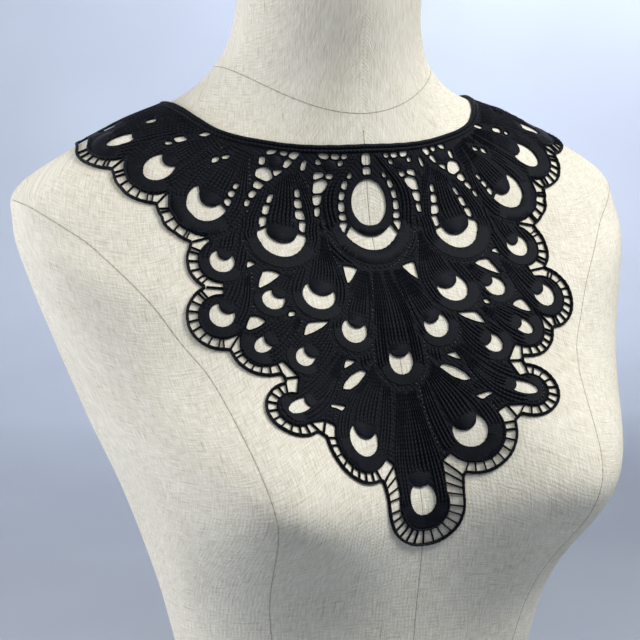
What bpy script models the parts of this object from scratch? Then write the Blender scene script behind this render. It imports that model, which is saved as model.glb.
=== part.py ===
"""Black lace bib collar worn by a limbless dress form.

The form is a smooth padded torso cut off level at the hip and at the top of the neck.  The collar is one
piece of corded lace, drawn flat in millimetres and then laid on the form over an even square net, so that
it keeps its flat lengths.  Its solids are the field of plumes, the scalloped ladder edging and the cord
band along the neckline.  Metres, +Z up, the front of the form looks along -Y.
"""
import math

import bmesh
import bpy
import numpy as np
from mathutils import Vector
from mathutils.bvhtree import BVHTree
from mathutils.geometry import delaunay_2d_cdt

# sizes of the lace, millimetres
WALL = 1.1             # ground of the lace
FIT = 0.8              # air between the lace and the form
CLEAR = 0.5            # least air left to the facets of the form
SEAM = 0.35            # air between field, edging and band
NOTCH_SEAM = 1.1       # air at the foot of the bar that reaches into a notch
RIM_RISE = 0.9         # satin rim above the ground
CORE_RISE = 1.0        # satin petal above the ground
RIB_RISE = 0.5         # corded ribs above the ground
CORD_WIDTH = 2.4       # outer cord
CORD_RISE = 1.2        # outer cord above the ground
BAR_WIDTH = 1.3        # one bar of the ladder
BAR_PITCH = 5.6        # bar to bar
GRAIN = 8.5            # spacing of the points inside the field
ARC_STEP = 7.0         # longest edge on the outline of the field
HOLE_STEP = 5.5        # longest edge round a hole

# the form, centimetres: one ring a row
# name, half width, front y, back y, side y, side z, front z, back z, squareness
RINGS = [
    ("base",      15.2, -9.8, 9.6, 0.3,  0.0,  0.0,  0.0,  1.0),
    ("high_hip",  15.0, -9.8, 9.4, 0.2,  2.0,  2.0,  2.0,  1.0),
    ("hip_rise",  12.6, -9.2, 8.0, -0.3, 7.0,  7.0,  7.0,  1.0),
    ("waist",     10.1, -8.8, 6.8, -0.8, 12.5, 12.5, 12.5, 1.0),
    ("ribs",      11.1, -9.4, 7.8, -1.5, 19.0, 18.2, 18.5, 1.0),
    ("bust",      13.2, -10.6, 9.0, -1.7, 25.7, 24.9, 25.5, 0.95),
    ("armpit",    15.4, -9.5, 9.6, -1.5, 31.0, 29.0, 32.0, 0.9),
    ("arm_plate", 17.8, -7.7, 9.6, 0.7,  38.2, 35.2, 38.5, 0.86),
    ("shoulder",  18.3, -5.8, 9.0, 2.2,  41.2, 38.2, 42.4, 0.85),
    ("yoke_3",    17.6, -4.8, 8.4, 3.0,  43.4, 40.0, 44.8, 0.9),
    ("yoke_2",    12.4, -4.4, 7.6, 3.0,  46.3, 41.4, 46.8, 0.95),
    ("yoke_1",    8.4,  -4.1, 6.9, 2.9,  47.9, 43.8, 48.4, 1.0),
    ("neck_base", 6.4,  -3.8, 6.3, 2.4,  49.6, 46.8, 50.0, 1.0),
    ("neck_low",  5.5,  -3.9, 6.0, 1.5,  51.6, 49.6, 51.8, 1.0),
    ("neck_mid",  5.3,  -4.6, 5.6, 0.7,  54.2, 53.0, 54.3, 1.0),
    ("neck_top",  5.5,  -5.4, 5.3, 0.0,  57.0, 57.0, 57.0, 1.0),
]
RING_PARTS = [1, 2, 3, 3, 4, 4, 4, 3, 3, 3, 3, 3, 3, 2, 2]    # mesh rings in each space of the table
FRONT_PARTS = 36
BACK_PARTS = 14
BUST_X = 9.7           # centimetres from the centre line
BUST_Z = 27.0
BUST_DEPTH = 5.2
BUST_ACROSS = 4.3
BUST_ABOVE = 3.8
BUST_BELOW = 3.4
FORM_SHIFT = 2.0656     # centimetres the form moves back, so that the part is centred

# the even net on the form, centimetres
NET_STEP = 1.0
NET_ACROSS = 19
NET_TOP = -7
NET_DOWN = 37
NECK_RING = 11.42      # place of the neckline on the middle line, in rings
TOP_LINE = [(0, -1.3), (4, -1.9), (5, -2), (6, -2.4), (7, -3), (8, -4), (9, -5.5), (10, -7)]
SIDE_LINE = [(-7, 18.1), (1, 18.1), (3, 17.1), (5, 15.1), (8, 14.1), (14, 13.1), (18, 10.1), (22, 7.1),
             (29, 4.1)]

# the lace, flat millimetres: u from the centre line, v down from the neckline; the left side is the mirror
# name, root u, root v, eye u, eye v, eye half length, eye half width, rim radius, core u, core v, core radius
PLUMES = [
    ("upper_arm",  76,  -17, 114.0, -0.8,  9.8,  7.6,  17.5, 106.5, -5.5,  5.5),
    ("arm",        84,  -26, 132.5, -25,   8.5,  4.2,  17.5, 122.5, -26,   4.0),
    ("shoulder",   92,  -38, 141,   -46,   6.0,  3.6,  11,   133,   -45,   3.0),
    ("flank_1",    70,  22,  88.3,  59.0,  6.8,  6.8,  13.3, 86,    54.5,  4.0),
    ("flank_2",    73,  52,  95,    91.3,  7.0,  6.8,  12.8, 90.8,  86.2,  4.8),
    ("flank_3",    50,  92,  76.3,  110.6, 6.2,  4.2,  13.3, 71.0,  107.6, 4.6),
    ("inner_1",    50,  66,  65.3,  85.2,  6.5,  6.2,  11.3, 60.8,  80.8,  4.3),
    ("inner_2",    30,  46,  39.3,  84.8,  9.2,  9.2,  15.6, 36.0,  78.0,  7.5),
    ("inner_3",    9,   70,  24,    107.4, 7.4,  7.3,  12.7, 21.4,  101.0, 5.4),
    ("inner_4",    26,  84,  55,    119.8, 6.2,  5.2,  11,   50.4,  116.2, 4.5),
    ("low_side",   28,  116, 65.8,  147.7, 8.4,  3.8,  11,   58.6,  145,   3.9),
    ("low_heart",  9,   122, 31.8,  168.6, 9.6,  9.5,  17.7, 29.2,  161.4, 7.1),
    ("middle",     0,   70,  0,     126.0, 8.0,  6.6,  14,   0,     118.8, 5.5),
    ("tip",        0,   140, 0,     204.4, 9.2,  7.8,  16,   0,     190.8, 6.8),
]
# name, centre u, centre v, radius of the field, radius of the cord
SCALLOPS = [
    ("tip",       0.0,   207.0, 15.2, 23.2),
    ("low_heart", 33.2,  169.3, 17.7, 23.4),
    ("low_side",  69.7,  149.8, 10.2, 15.7),
    ("flank_3",   76.0,  110.0, 13.3, 18.6),
    ("flank_2",   95.0,  92.0,  12.8, 18.5),
    ("flank_1",   88.3,  59.3,  13.3, 19.0),
    ("breast",    92.0,  22.3,  20.0, 25.8),
    ("upper_arm", 115.8, -2.0,  17.5, 23.4),
    ("arm",       134.7, -27.5, 17.5, 23.6),
]
# notches where two neighbouring circles stay apart, and where an arc of the field begins or ends early
FIELD_NOTCH = {"tip": (14.5, 184), "low_heart": (54, 157.3), "low_side": (62, 131), "flank_2": (91, 76),
               "flank_1": (93, 44.3)}
FIELD_START = {"low_side": -35}
FIELD_STOP = {"tip": 110}
CORD_STOP = {"tip": 97}
CORD_NOTCH = {"tip": (24, 193.5), "low_heart": (58.5, 165.5), "low_side": (69.8, 131.3)}
NECKLINE = [(0, -1), (14, -1.3), (28, -2.5), (42, -5), (55, -9), (68, -14), (79, -20.5), (87, -29), (94, -39),
            (100, -49), (105, -58), (108, -65)]
FIELD_END = [(151.8, -42), (153.4, -47.5), (156.4, -52.8), (150, -56), (136, -60.5), (122, -63.8)]
CORD_END = [(158.6, -37), (159.6, -43), (159.4, -48), (158.9, -51.5)]

# open eyes of the large plumes: crescents between an outer and an inner oval
# name, outer centre u, v, half width, half height, from, to degrees, then the same of the inner oval
CRESCENTS = [
    ("bib",    52, 46,   13.5, 13.5, -82, 104, 50.8, 41.8, 9.3,  9.3,  -62, 95),
    ("centre", 0,  32,   20,   27.0, -50, 50,  0,    32.0, 15.0, 18.5, -50, 50),
    ("breast", 91, 23.5, 11.2, 11.2, -60, 162, 87.8, 19.3, 7.0,  7.0,  -35, 112),
]
# satin rims round them and satin petals in them: centre u, v, inner radius, outer radius
RINGS_OF_SATIN = [
    ("bib_rim",      52,   46,   14, 21),
    ("bib_petal",    50.8, 41.8, 0,  8.8),
    ("breast_rim",   91,   23.5, 12, 20),
    ("breast_petal", 87.8, 19.3, 0,  6.6),
]
CENTRE_HOLE = (0, 31.3, 10.4, 12.9)     # centre u, v, half width, half height
# cells of the net at the neckline, with a bar between each two; corner u, v
NET_CELLS = [
    [(-2.4, 4.4), (2.4, 4.4), (2.5, 10.3), (-2.5, 10.3)],
    [(-2.2, 11.8), (2.2, 11.8), (2.2, 15.8), (-2.2, 15.8)],
    [(10.5, 4.4), (13.8, 4.0), (14.0, 6.2), (11.4, 6.3)],
    [(15.2, 4.0), (19.6, 3.6), (19.8, 5.8), (16.0, 6.3)],
    [(21.0, 3.6), (27.0, 2.2), (26.0, 4.8), (22.0, 5.9)],
    [(13.4, 7.6), (16.4, 7.7), (16.2, 10.3), (14.0, 9.6)],
    [(26.1, 6.5), (28.2, 5.3), (28.8, 8.2), (26.1, 8.6)],
    [(19.4, 14.6), (23.6, 14.2), (24.0, 16.0), (21.0, 17.2)],
    [(25.1, 13.0), (30.0, 12.9), (31.0, 16.7), (25.4, 15.2)],
    [(23.0, 18.5), (26.0, 16.8), (30.8, 18.2), (32.0, 24.0), (27.4, 24.0), (24.6, 21.6)],
    [(27.0, 25.4), (32.2, 25.4), (32.4, 30.6), (28.8, 30.5)],
    [(28.8, 31.9), (32.0, 32.0), (32.2, 36.6), (29.8, 36.4)],
    [(33.6, 5.2), (36.0, 6.0), (37.6, 10.6), (35.4, 10.9)],
    [(36.6, 0.7), (41.8, 0.2), (43.0, 2.6), (40.0, 4.5)],
    [(43.2, -0.4), (47.4, -1.4), (47.3, 0.6), (44.8, 1.8)],
    [(48.7, -2.3), (54.2, -3.2), (54.8, -0.7), (51.0, -0.4)],
    [(56.0, 1.0), (58.6, -0.3), (59.6, 4.8), (57.0, 4.9)],
    [(41.4, 5.4), (44.4, 3.4), (47.0, 7.6), (45.2, 8.6)],
    [(47.0, 9.6), (52.6, 9.0), (52.0, 12.6)],
    [(54.2, 8.6), (57.2, 6.3), (61.4, 7.2), (62.8, 11.2), (56.8, 14.9), (53.4, 13.2)],
    [(58.4, 16.6), (62.8, 13.4), (64.8, 17.2), (61.6, 19.0)],
    [(63.0, 20.4), (65.8, 18.7), (68.2, 22.2), (66.4, 23.4)],
    [(67.4, 24.8), (69.6, 23.6), (71.0, 27.4), (69.2, 28.0)],
    [(8.8, 15.0), (10.6, 14.6), (12.0, 17.0), (9.8, 17.6)],
    [(11.6, 19.4), (14.0, 18.6), (15.8, 22.0), (13.2, 23.4)],
    [(13.8, 25.0), (16.6, 24.2), (17.5, 28.7), (14.8, 28.9)],
    [(14.8, 30.4), (17.8, 30.2), (18.1, 34.6), (14.8, 34.8)],
    [(14.6, 36.3), (18.2, 36.1), (18.1, 40.0), (14.0, 40.3)],
    [(13.2, 41.8), (18.0, 41.5), (18.0, 47.6), (15.9, 47.8)],
    [(39.6, 21.2), (41.8, 21.0), (42.2, 25.2), (39.4, 25.4)],
    [(39.4, 26.9), (42.8, 26.6), (43.2, 31.0), (39.0, 31.5)],
    [(38.8, 33.0), (43.2, 32.4), (43.0, 37.2), (38.0, 38.4)],
    [(37.8, 39.9), (41.6, 39.0), (41.0, 44.9), (38.4, 46.3)],
    [(54.0, 22.2), (56.6, 22.6), (58.8, 26.6), (56.4, 26.8)],
    [(57.2, 28.3), (60.2, 27.8), (61.6, 32.8), (58.4, 33.4)],
    [(59.0, 34.9), (62.6, 34.3), (64.6, 40.6), (61.0, 39.7)],
    [(72.0, 14.8), (74.2, 13.8), (76.0, 16.6), (74.3, 17.6)],
    [(75.0, 18.9), (77.6, 17.6), (79.2, 20.4), (77.0, 22.2)],
    [(77.4, 23.8), (80.0, 21.8), (81.6, 24.2), (79.8, 27.2)],
    [(75.0, -3.4), (78.8, -3.2), (79.4, -1.2), (76.0, -1.0)],
    [(80.7, -2.8), (84.0, -3.0), (85.5, 0.6), (82.0, 0.0)],
    [(82.8, -18.0), (85.6, -20.3), (90.6, -18.8), (87.0, -16.9)],
    [(96.5, -16.0), (98.5, -19.6), (104.0, -19.0), (102.3, -15.2)],
    [(105.6, -16.8), (108.6, -17.4), (108.6, -14.8), (105.2, -14.4)],
    [(112.4, -38.9), (117.6, -38.2), (117.2, -34.2), (112.4, -34.6)],
]
# gaps where the plumes part
GAPS = [
    [(12.8, 69.5), (17.0, 68.0), (21.3, 67.2), (21.2, 79.2), (17.0, 75.5)],
    [(57.5, 69.5), (62.0, 67.2), (67.0, 66.8), (70.0, 72.0), (72.0, 78.0), (66.0, 75.5), (61.0, 72.3)],
    [(69.8, 62.2), (74.2, 59.4), (75.8, 64.8)],
    [(37.0, 100.8), (43.0, 100.6), (49.0, 100.6), (51.3, 103.5), (53.6, 108.4), (48.0, 107.0), (42.0, 104.4)],
    [(72.2, 97.8), (75.6, 94.8), (79.8, 93.6), (82.0, 96.8), (84.2, 100.4), (82.6, 102.0), (77.5, 100.6)],
    [(26.0, 124.4), (32.2, 123.2), (34.8, 128.6), (30.0, 126.6)],
    [(21.0, 131.2), (24.0, 129.4), (30.0, 131.8), (35.5, 136.0), (38.2, 139.8), (33.5, 140.4), (27.5, 137.3)],
    [(38.0, 149.4), (46.5, 147.6), (48.6, 149.6), (45.0, 150.4), (41.8, 152.4)],
    [(55.0, 93.6), (58.4, 93.2), (60.0, 96.8), (55.8, 96.4)],
]
# bundles of corded ribs: start u, v, end u, v, half width
RIB_BUNDLES = [
    (33, 0, 36, 62, 5),
    (62, -6, 78, 48, 6),
    (46, 4, 50, 30, 6),
    (9, 70, 14, 150, 5),
    (30, 56, 52, 104, 5),
    (14, 122, 42, 146, 6),
    (72, -12, 104, -10, 5),
    (80, -22, 120, -32, 5),
    (8, 150, 8, 190, 5),
]

LACE_BLACK = (0.006, 0.007, 0.011, 1.0)
LINEN_CREAM = (0.62, 0.57, 0.48, 1.0)


# the form
def ring_row(s):
    """Sizes of the form at ring position s, smooth between the rows of the table."""
    rows = np.array([r[1:] for r in RINGS], float)
    last = len(rows) - 1
    i = np.clip(np.floor(s).astype(int), 0, last - 1)
    f = (s - i)[..., None]
    before = rows[np.maximum(i - 1, 0)]
    here = rows[i]
    above = rows[i + 1]
    after = rows[np.minimum(i + 2, last)]
    slope_here = (above - before) * 0.5
    slope_above = (after - here) * 0.5
    return ((2 * f**3 - 3 * f**2 + 1) * here + (f**3 - 2 * f**2 + f) * slope_here
            + (3 * f**2 - 2 * f**3) * above + (f**3 - f**2) * slope_above)


def form_point(s, t):
    """Point of the form in centimetres: s ring position, t angle from the front towards +X."""
    s, t = np.broadcast_arrays(np.asarray(s, float), np.asarray(t, float))
    width, front_y, back_y, side_y, side_z, front_z, back_z, square = np.moveaxis(ring_row(s), -1, 0)
    sine = np.sin(t)
    cosine = np.cos(t)
    reach = np.abs(cosine) ** square
    ahead = cosine >= 0
    x = width * np.sign(sine) * np.abs(sine) ** square
    y = side_y + (np.where(ahead, front_y, back_y) - side_y) * reach
    z = side_z + (np.where(ahead, front_z, back_z) - side_z) * cosine**2
    across = (np.abs(x) - BUST_X) / BUST_ACROSS
    down = z - BUST_Z
    down = np.where(down > 0, down / BUST_ABOVE, down / BUST_BELOW)
    fade = np.clip(cosine / 0.25, 0, 1)
    y = y - np.exp(-(across**2 + down**2) / 2) * BUST_DEPTH * fade**2 * (3 - 2 * fade)
    return np.stack([x, y + FORM_SHIFT, z], -1)


def form_slopes(s, t, e=1e-3):
    along = (form_point(s + e, t) - form_point(s - e, t)) / (2 * e)
    around = (form_point(s, t + e) - form_point(s, t - e)) / (2 * e)
    return along, around


def form_normal(s, t):
    along, around = form_slopes(s, t)
    out = np.cross(around, along)
    return out / np.linalg.norm(out, axis=-1, keepdims=True)


# the even net that lays the flat lace on the form
def net_mask(u, v):
    top = np.interp(u, *zip(*TOP_LINE))
    side = np.interp(v, *zip(*SIDE_LINE))
    return (v >= top) & (u <= side)


def neighbours(di, dj):
    if dj >= 0:
        near = (slice(0, NET_ACROSS - di), slice(0, NET_DOWN - dj))
        far = (slice(di, NET_ACROSS), slice(dj, NET_DOWN))
    else:
        near = (slice(0, NET_ACROSS - di), slice(-dj, NET_DOWN))
        far = (slice(di, NET_ACROSS), slice(0, NET_DOWN + dj))
    return near, far


def even_out(s, t, used, rounds, carry):
    """Slides the net on the form until its threads have their flat lengths."""
    speed_s = np.zeros_like(s)
    speed_t = np.zeros_like(s)
    for _ in range(rounds):
        places = form_point(s, t)
        along, around = form_slopes(s, t)
        pull = np.zeros_like(places)
        count = np.zeros(s.shape)
        for di, dj, weight in ((1, 0, 1.0), (0, 1, 1.0), (1, 1, 0.5), (1, -1, 0.5)):
            near, far = neighbours(di, dj)
            gap = places[far] - places[near]
            length = np.linalg.norm(gap, axis=-1, keepdims=True) + 1e-9
            held = (used[near] & used[far])[..., None] * weight
            part = gap * (1 - NET_STEP * math.hypot(di, dj) / length) * held
            pull[near] += part
            pull[far] -= part
            count[near] += held[..., 0]
            count[far] += held[..., 0]
        pull /= np.maximum(count, 1)[..., None]
        a = (along * along).sum(-1)
        b = (along * around).sum(-1)
        c = (around * around).sum(-1)
        p = (along * pull).sum(-1)
        q = (around * pull).sum(-1)
        whole = a * c - b * b + 1e-9
        speed_s = carry * speed_s + 0.8 * (c * p - b * q) / whole
        speed_t = carry * speed_t + 0.8 * (a * q - b * p) / whole
        speed_t[0] = 0
        speed_s[0, -NET_TOP] = 0
        s = s + np.clip(speed_s, -0.1, 0.1) * used
        t = t + np.clip(speed_t, -0.05, 0.05) * used
    return s, t


def walk(s, t, way):
    """Form parameters one small way further along the surface."""
    along, around = form_slopes(s, t)
    step = np.linalg.lstsq(np.stack([along, around], 1), way, rcond=None)[0]
    return s + step[0], t + step[1]


def lay_net():
    """Ring position and angle of every knot of the net, column by column from the centre line."""
    u, v = np.meshgrid(np.arange(NET_ACROSS) * NET_STEP, (NET_TOP + np.arange(NET_DOWN)) * NET_STEP,
                       indexing="ij")
    wanted = net_mask(u, v)
    s = np.zeros(u.shape)
    t = np.zeros(u.shape)
    line = np.linspace(14, 3, 4000)
    middle = form_point(line, 0 * line)
    length = np.r_[0, np.cumsum(np.linalg.norm(np.diff(middle, axis=0), axis=1))]
    s[0] = np.interp(np.interp(-NECK_RING, -line, length) + v[0], length, line)
    used = np.zeros_like(wanted)
    used[0] = wanted[0]
    for i in range(1, NET_ACROSS):
        places = form_point(s[i - 1], t[i - 1])
        rows = np.nonzero(used[i - 1])[0]
        for j in range(NET_DOWN - 1, -1, -1):
            if not wanted[i, j]:
                continue
            if used[i - 1, j]:
                thread = places[min(j + 1, rows.max())] - places[max(j - 1, rows.min())]
                along, around = form_slopes(s[i - 1, j], t[i - 1, j])
                side = np.cross(thread, np.cross(around, along))
                side *= math.copysign(NET_STEP, side @ around) / np.linalg.norm(side)
                s[i, j], t[i, j] = walk(s[i - 1, j], t[i - 1, j], side)
            else:
                way = form_point(s[i, j + 1], t[i, j + 1]) - form_point(s[i, j + 2], t[i, j + 2])
                way *= NET_STEP / np.linalg.norm(way)
                s[i, j], t[i, j] = walk(s[i, j + 1], t[i, j + 1], way)
        used[i] = wanted[i]
        s, t = even_out(s, t, used, 40, 0.5)
    return even_out(s, t, used, 300, 0.8)


def bend(net, flat, height):
    """Flat millimetres and height above the form to metres on the form."""
    flat = np.asarray(flat, float)
    u = np.abs(flat[:, 0]) / 10
    v = flat[:, 1] / 10
    i = np.clip(np.floor(u).astype(int), 0, NET_ACROSS - 2)
    j = np.clip(np.floor(v - NET_TOP).astype(int), 0, NET_DOWN - 2)
    a = u - i
    b = v - NET_TOP - j
    s, t = [g[i, j] * (1 - a) * (1 - b) + g[i + 1, j] * a * (1 - b) + g[i, j + 1] * (1 - a) * b
            + g[i + 1, j + 1] * a * b for g in net]
    place = form_point(s, t) + form_normal(s, t) * (np.asarray(height, float) / 10)[:, None]
    place[:, 0] *= np.where(flat[:, 0] < 0, -1, 1)
    return place / 100


# flat shapes
def on_oval(centre, half_u, half_v, degrees):
    """Point of an oval; the angle runs from straight down towards +u."""
    turn = math.radians(degrees)
    return (centre[0] + half_u * math.sin(turn), centre[1] + half_v * math.cos(turn))


def arc(centre, radius, start, end, step):
    parts = max(1, math.ceil(abs(math.radians(end - start)) * radius / step))
    return [on_oval(centre, radius, radius, start + (end - start) * k / parts) for k in range(parts + 1)]


def heading(here, there):
    return math.degrees(math.atan2(there[0] - here[0], there[1] - here[1]))


def notch(low, high, radius_low, radius_high, given):
    """Where the arcs of two neighbouring scallops meet, low one first."""
    if given is not None:
        return given
    step = np.subtract(high, low)
    far = np.hypot(*step)
    step = step / far
    ahead = (radius_low**2 - radius_high**2 + far**2) / (2 * far)
    aside = math.sqrt(max(0.0, radius_low**2 - ahead**2))
    return (low[0] + ahead * step[0] - aside * step[1], low[1] + ahead * step[1] + aside * step[0])


def scallop_arcs(column, grow, given, end, first=None, last=None):
    """One (name, centre, radius, start, stop, notch after) for each scallop, from the tip up to the arm."""
    first = first or {}
    last = last or {}
    rows = []
    start = 0.0
    for k, row in enumerate(SCALLOPS):
        centre = (row[1], row[2])
        radius = row[column] + grow
        if k + 1 < len(SCALLOPS):
            above = SCALLOPS[k + 1]
            meet = notch(centre, (above[1], above[2]), radius, above[column] + grow, given.get(row[0]))
            stop = heading(centre, meet)
        else:
            meet = None
            stop = end
        while stop < start:
            stop += 360
        begin = first.get(row[0], start)
        finish = min(stop, last.get(row[0], stop))
        rows.append((row[0], centre, radius, begin, finish, meet))
        if meet is not None:
            start = heading((above[1], above[2]), meet)
            if start > 90:
                start -= 360
    return rows


def tidy(points, least=0.8):
    kept = [points[0]]
    for p in points[1:]:
        if math.dist(p, kept[-1]) > least:
            kept.append(p)
    return kept


def mirror(points):
    return [(-u, v) for u, v in points]


def inset(line, depth):
    """The line moved down into the lace by its own normals."""
    flat = np.array(line, float)
    way = np.gradient(flat, axis=0)
    way /= np.linalg.norm(way, axis=1, keepdims=True)
    moved = flat + np.stack([-way[:, 1], way[:, 0]], 1) * depth
    moved[0] = (0, flat[0, 1] + depth)
    return [tuple(p) for p in moved]


def field_outline():
    half = []
    arcs = scallop_arcs(3, 0.0, FIELD_NOTCH, 100, FIELD_START, FIELD_STOP)
    for name, centre, radius, start, stop, meet in arcs:
        half += arc(centre, radius, start, stop, ARC_STEP)
        if meet is not None:
            half.append(meet)
    half += FIELD_END
    half += inset(NECKLINE, CORD_WIDTH + SEAM)[::-1]
    half = tidy(half)
    return half + mirror(half[1:-1])[::-1]


def oval_hole(plume):
    """The eye of a plume where its core does not cover it."""
    name, root_u, root_v, eye_u, eye_v, length, width, rim, core_u, core_v, core = plume
    way = np.array([eye_u - core_u, eye_v - core_v], float)
    way /= np.linalg.norm(way)
    side = np.array([-way[1], way[0]])
    turns = np.radians(np.arange(-180, 180))
    eye = np.outer(np.cos(turns), way * length) + np.outer(np.sin(turns), side * width)
    eye += [eye_u, eye_v]
    bare = np.hypot(eye[:, 0] - core_u, eye[:, 1] - core_v) > core
    shown = eye[bare]
    ring = core * (np.outer(np.cos(turns), way) + np.outer(np.sin(turns), side))
    ring += [core_u, core_v]
    off = ring - np.array([eye_u, eye_v])
    inside = (off @ way / length) ** 2 + (off @ side / width) ** 2 < 1
    covered = ring[inside][::-1]
    return thin(shown, HOLE_STEP) + thin(covered, HOLE_STEP)[1:-1]


def thin(points, step):
    """Evenly spaced points of a dense line, ends kept."""
    points = np.array(points)
    run = np.r_[0, np.cumsum(np.linalg.norm(np.diff(points, axis=0), axis=1))]
    parts = max(2, math.ceil(run[-1] / step))
    where = np.linspace(0, run[-1], parts + 1)
    return [(float(np.interp(w, run, points[:, 0])), float(np.interp(w, run, points[:, 1]))) for w in where]


def crescent(row):
    name, u, v, half_u, half_v, start, stop, in_u, in_v, in_half_u, in_half_v, in_start, in_stop = row
    outer = [on_oval((u, v), half_u, half_v, a) for a in np.linspace(start, stop, 60)]
    inner = [on_oval((in_u, in_v), in_half_u, in_half_v, a) for a in np.linspace(in_stop, in_start, 60)]
    return thin(outer, HOLE_STEP) + thin(inner, HOLE_STEP)


def field_holes():
    holes = []
    for plume in PLUMES:
        hole = oval_hole(plume)
        holes.append(hole)
        if plume[3] > 1:
            holes.append(mirror(hole))
    for row in CRESCENTS:
        holes.append(crescent(row))
        if row[1] > 1:
            holes.append(mirror(crescent(row)))
    u, v, half_u, half_v = CENTRE_HOLE
    holes.append([on_oval((u, v), half_u, half_v, a) for a in range(0, 360, 24)])
    for cell in NET_CELLS + GAPS:
        holes.append(cell)
        if cell[0][0] > 1:
            holes.append(mirror(cell))
    return holes


def moved_notches(distance):
    """The given notches of the cord, moved out from the notches of the field."""
    moved = {}
    for name, place in CORD_NOTCH.items():
        away = np.subtract(place, FIELD_NOTCH[name])
        moved[name] = tuple(np.array(place) + away / np.hypot(*away) * distance)
    return moved


def comb_outline():
    """Edge cord with the ladder bars that reach in to the field, one closed line."""
    half = CORD_WIDTH / 2
    outer = []
    arcs = scallop_arcs(4, half, moved_notches(half), 96, last=CORD_STOP)
    for name, centre, radius, start, stop, meet in arcs:
        outer += arc(centre, radius, start, stop, BAR_PITCH)
        if meet is not None:
            outer.append(meet)
    outer += [(u + half, v) for u, v in CORD_END]
    inner = []
    reach = {row[0]: row[3] + SEAM for row in SCALLOPS}
    notches = {row[0]: row[5] for row in scallop_arcs(3, SEAM, FIELD_NOTCH, 96)}
    arcs = scallop_arcs(4, -half, moved_notches(-half), 96, last=CORD_STOP)
    for name, centre, radius, start, stop, meet in arcs:
        run = math.radians(stop - start) * radius
        bars = max(2, round(run / BAR_PITCH))
        low = reach[name]
        for k in range(bars):
            if k == 0 and name != "tip":
                continue
            middle = start + (stop - start) * k / bars
            half_bar = math.degrees(BAR_WIDTH / 2 / radius)
            foot = math.degrees(BAR_WIDTH / 2 / low)
            if k > 0:
                inner.append(on_oval(centre, radius, radius, middle - half_bar))
                inner.append(on_oval(centre, low, low, middle - foot))
            inner.append(on_oval(centre, low, low, middle + foot))
            inner.append(on_oval(centre, radius, radius, middle + half_bar))
        if name in CORD_STOP:
            corner = np.array(on_oval(centre, radius, radius, stop))
            foot_end = np.array(on_oval(centre, low, low, FIELD_STOP[name]))
            side_bars = round(math.dist(corner, meet) / BAR_PITCH)
            for k in range(1, side_bars):
                share = k / side_bars
                head = corner + (np.array(meet) - corner) * share
                foot = foot_end + (np.array(notches[name]) - foot_end) * share
                up = np.array([0, -BAR_WIDTH / 2])
                inner += [tuple(head - up), tuple(foot - up), tuple(foot + up), tuple(head + up)]
        if meet is not None:
            ahead = np.subtract(notches[name], meet)
            length = np.hypot(*ahead)
            ahead = ahead / length
            aside = np.array([ahead[1], -ahead[0]]) * BAR_WIDTH / 2
            foot = np.array(meet) + ahead * (length - NOTCH_SEAM)
            inner += [tuple(np.array(meet) + aside), tuple(foot + aside), tuple(foot - aside),
                      tuple(np.array(meet) - aside)]
    inner += [(u - half, v) for u, v in CORD_END]
    outer = tidy(outer)
    outer[0] = (0.0, outer[0][1])
    first = (0.0, inner[0][1])
    return mirror(outer[1:])[::-1] + outer + inner[::-1] + [first] + mirror(inner)


def band_outline():
    top = inset(NECKLINE, 0.0)
    low = inset(NECKLINE, CORD_WIDTH)
    return mirror(top[1:])[::-1] + top + low[::-1] + mirror(low[1:])


# relief of the field
def dome(distance, half):
    return np.sqrt(np.clip(1 - (distance / half) ** 2, 0, 1))


def relief(flat):
    """Height of the stitches above the ground at flat places."""
    flat = np.asarray(flat, float)
    u = np.abs(flat[:, 0])
    v = flat[:, 1]
    rise = np.zeros(len(u))
    for name, root_u, root_v, eye_u, eye_v, length, width, rim, core_u, core_v, core in PLUMES:
        off = np.hypot(u - eye_u, v - eye_v)
        hole = (length + width) / 2
        middle = (rim + hole) / 2
        rise = np.maximum(rise, RIM_RISE * dome(off - middle, (rim - hole) / 2))
        rise = np.maximum(rise, CORE_RISE * dome(np.hypot(u - core_u, v - core_v), core))
    for name, ring_u, ring_v, near, far in RINGS_OF_SATIN:
        off = np.hypot(u - ring_u, v - ring_v)
        rise = np.maximum(rise, RIM_RISE * dome(off - (near + far) / 2, (far - near) / 2))
    for start_u, start_v, end_u, end_v, half in RIB_BUNDLES:
        way = np.array([end_u - start_u, end_v - start_v], float)
        run = (u - start_u) * way[0] + (v - start_v) * way[1]
        part = np.clip(run / (way @ way), 0, 1)
        off = np.hypot(u - start_u - part * way[0], v - start_v - part * way[1])
        rise = np.maximum(rise, RIB_RISE * dome(off, half))
    return rise


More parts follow.
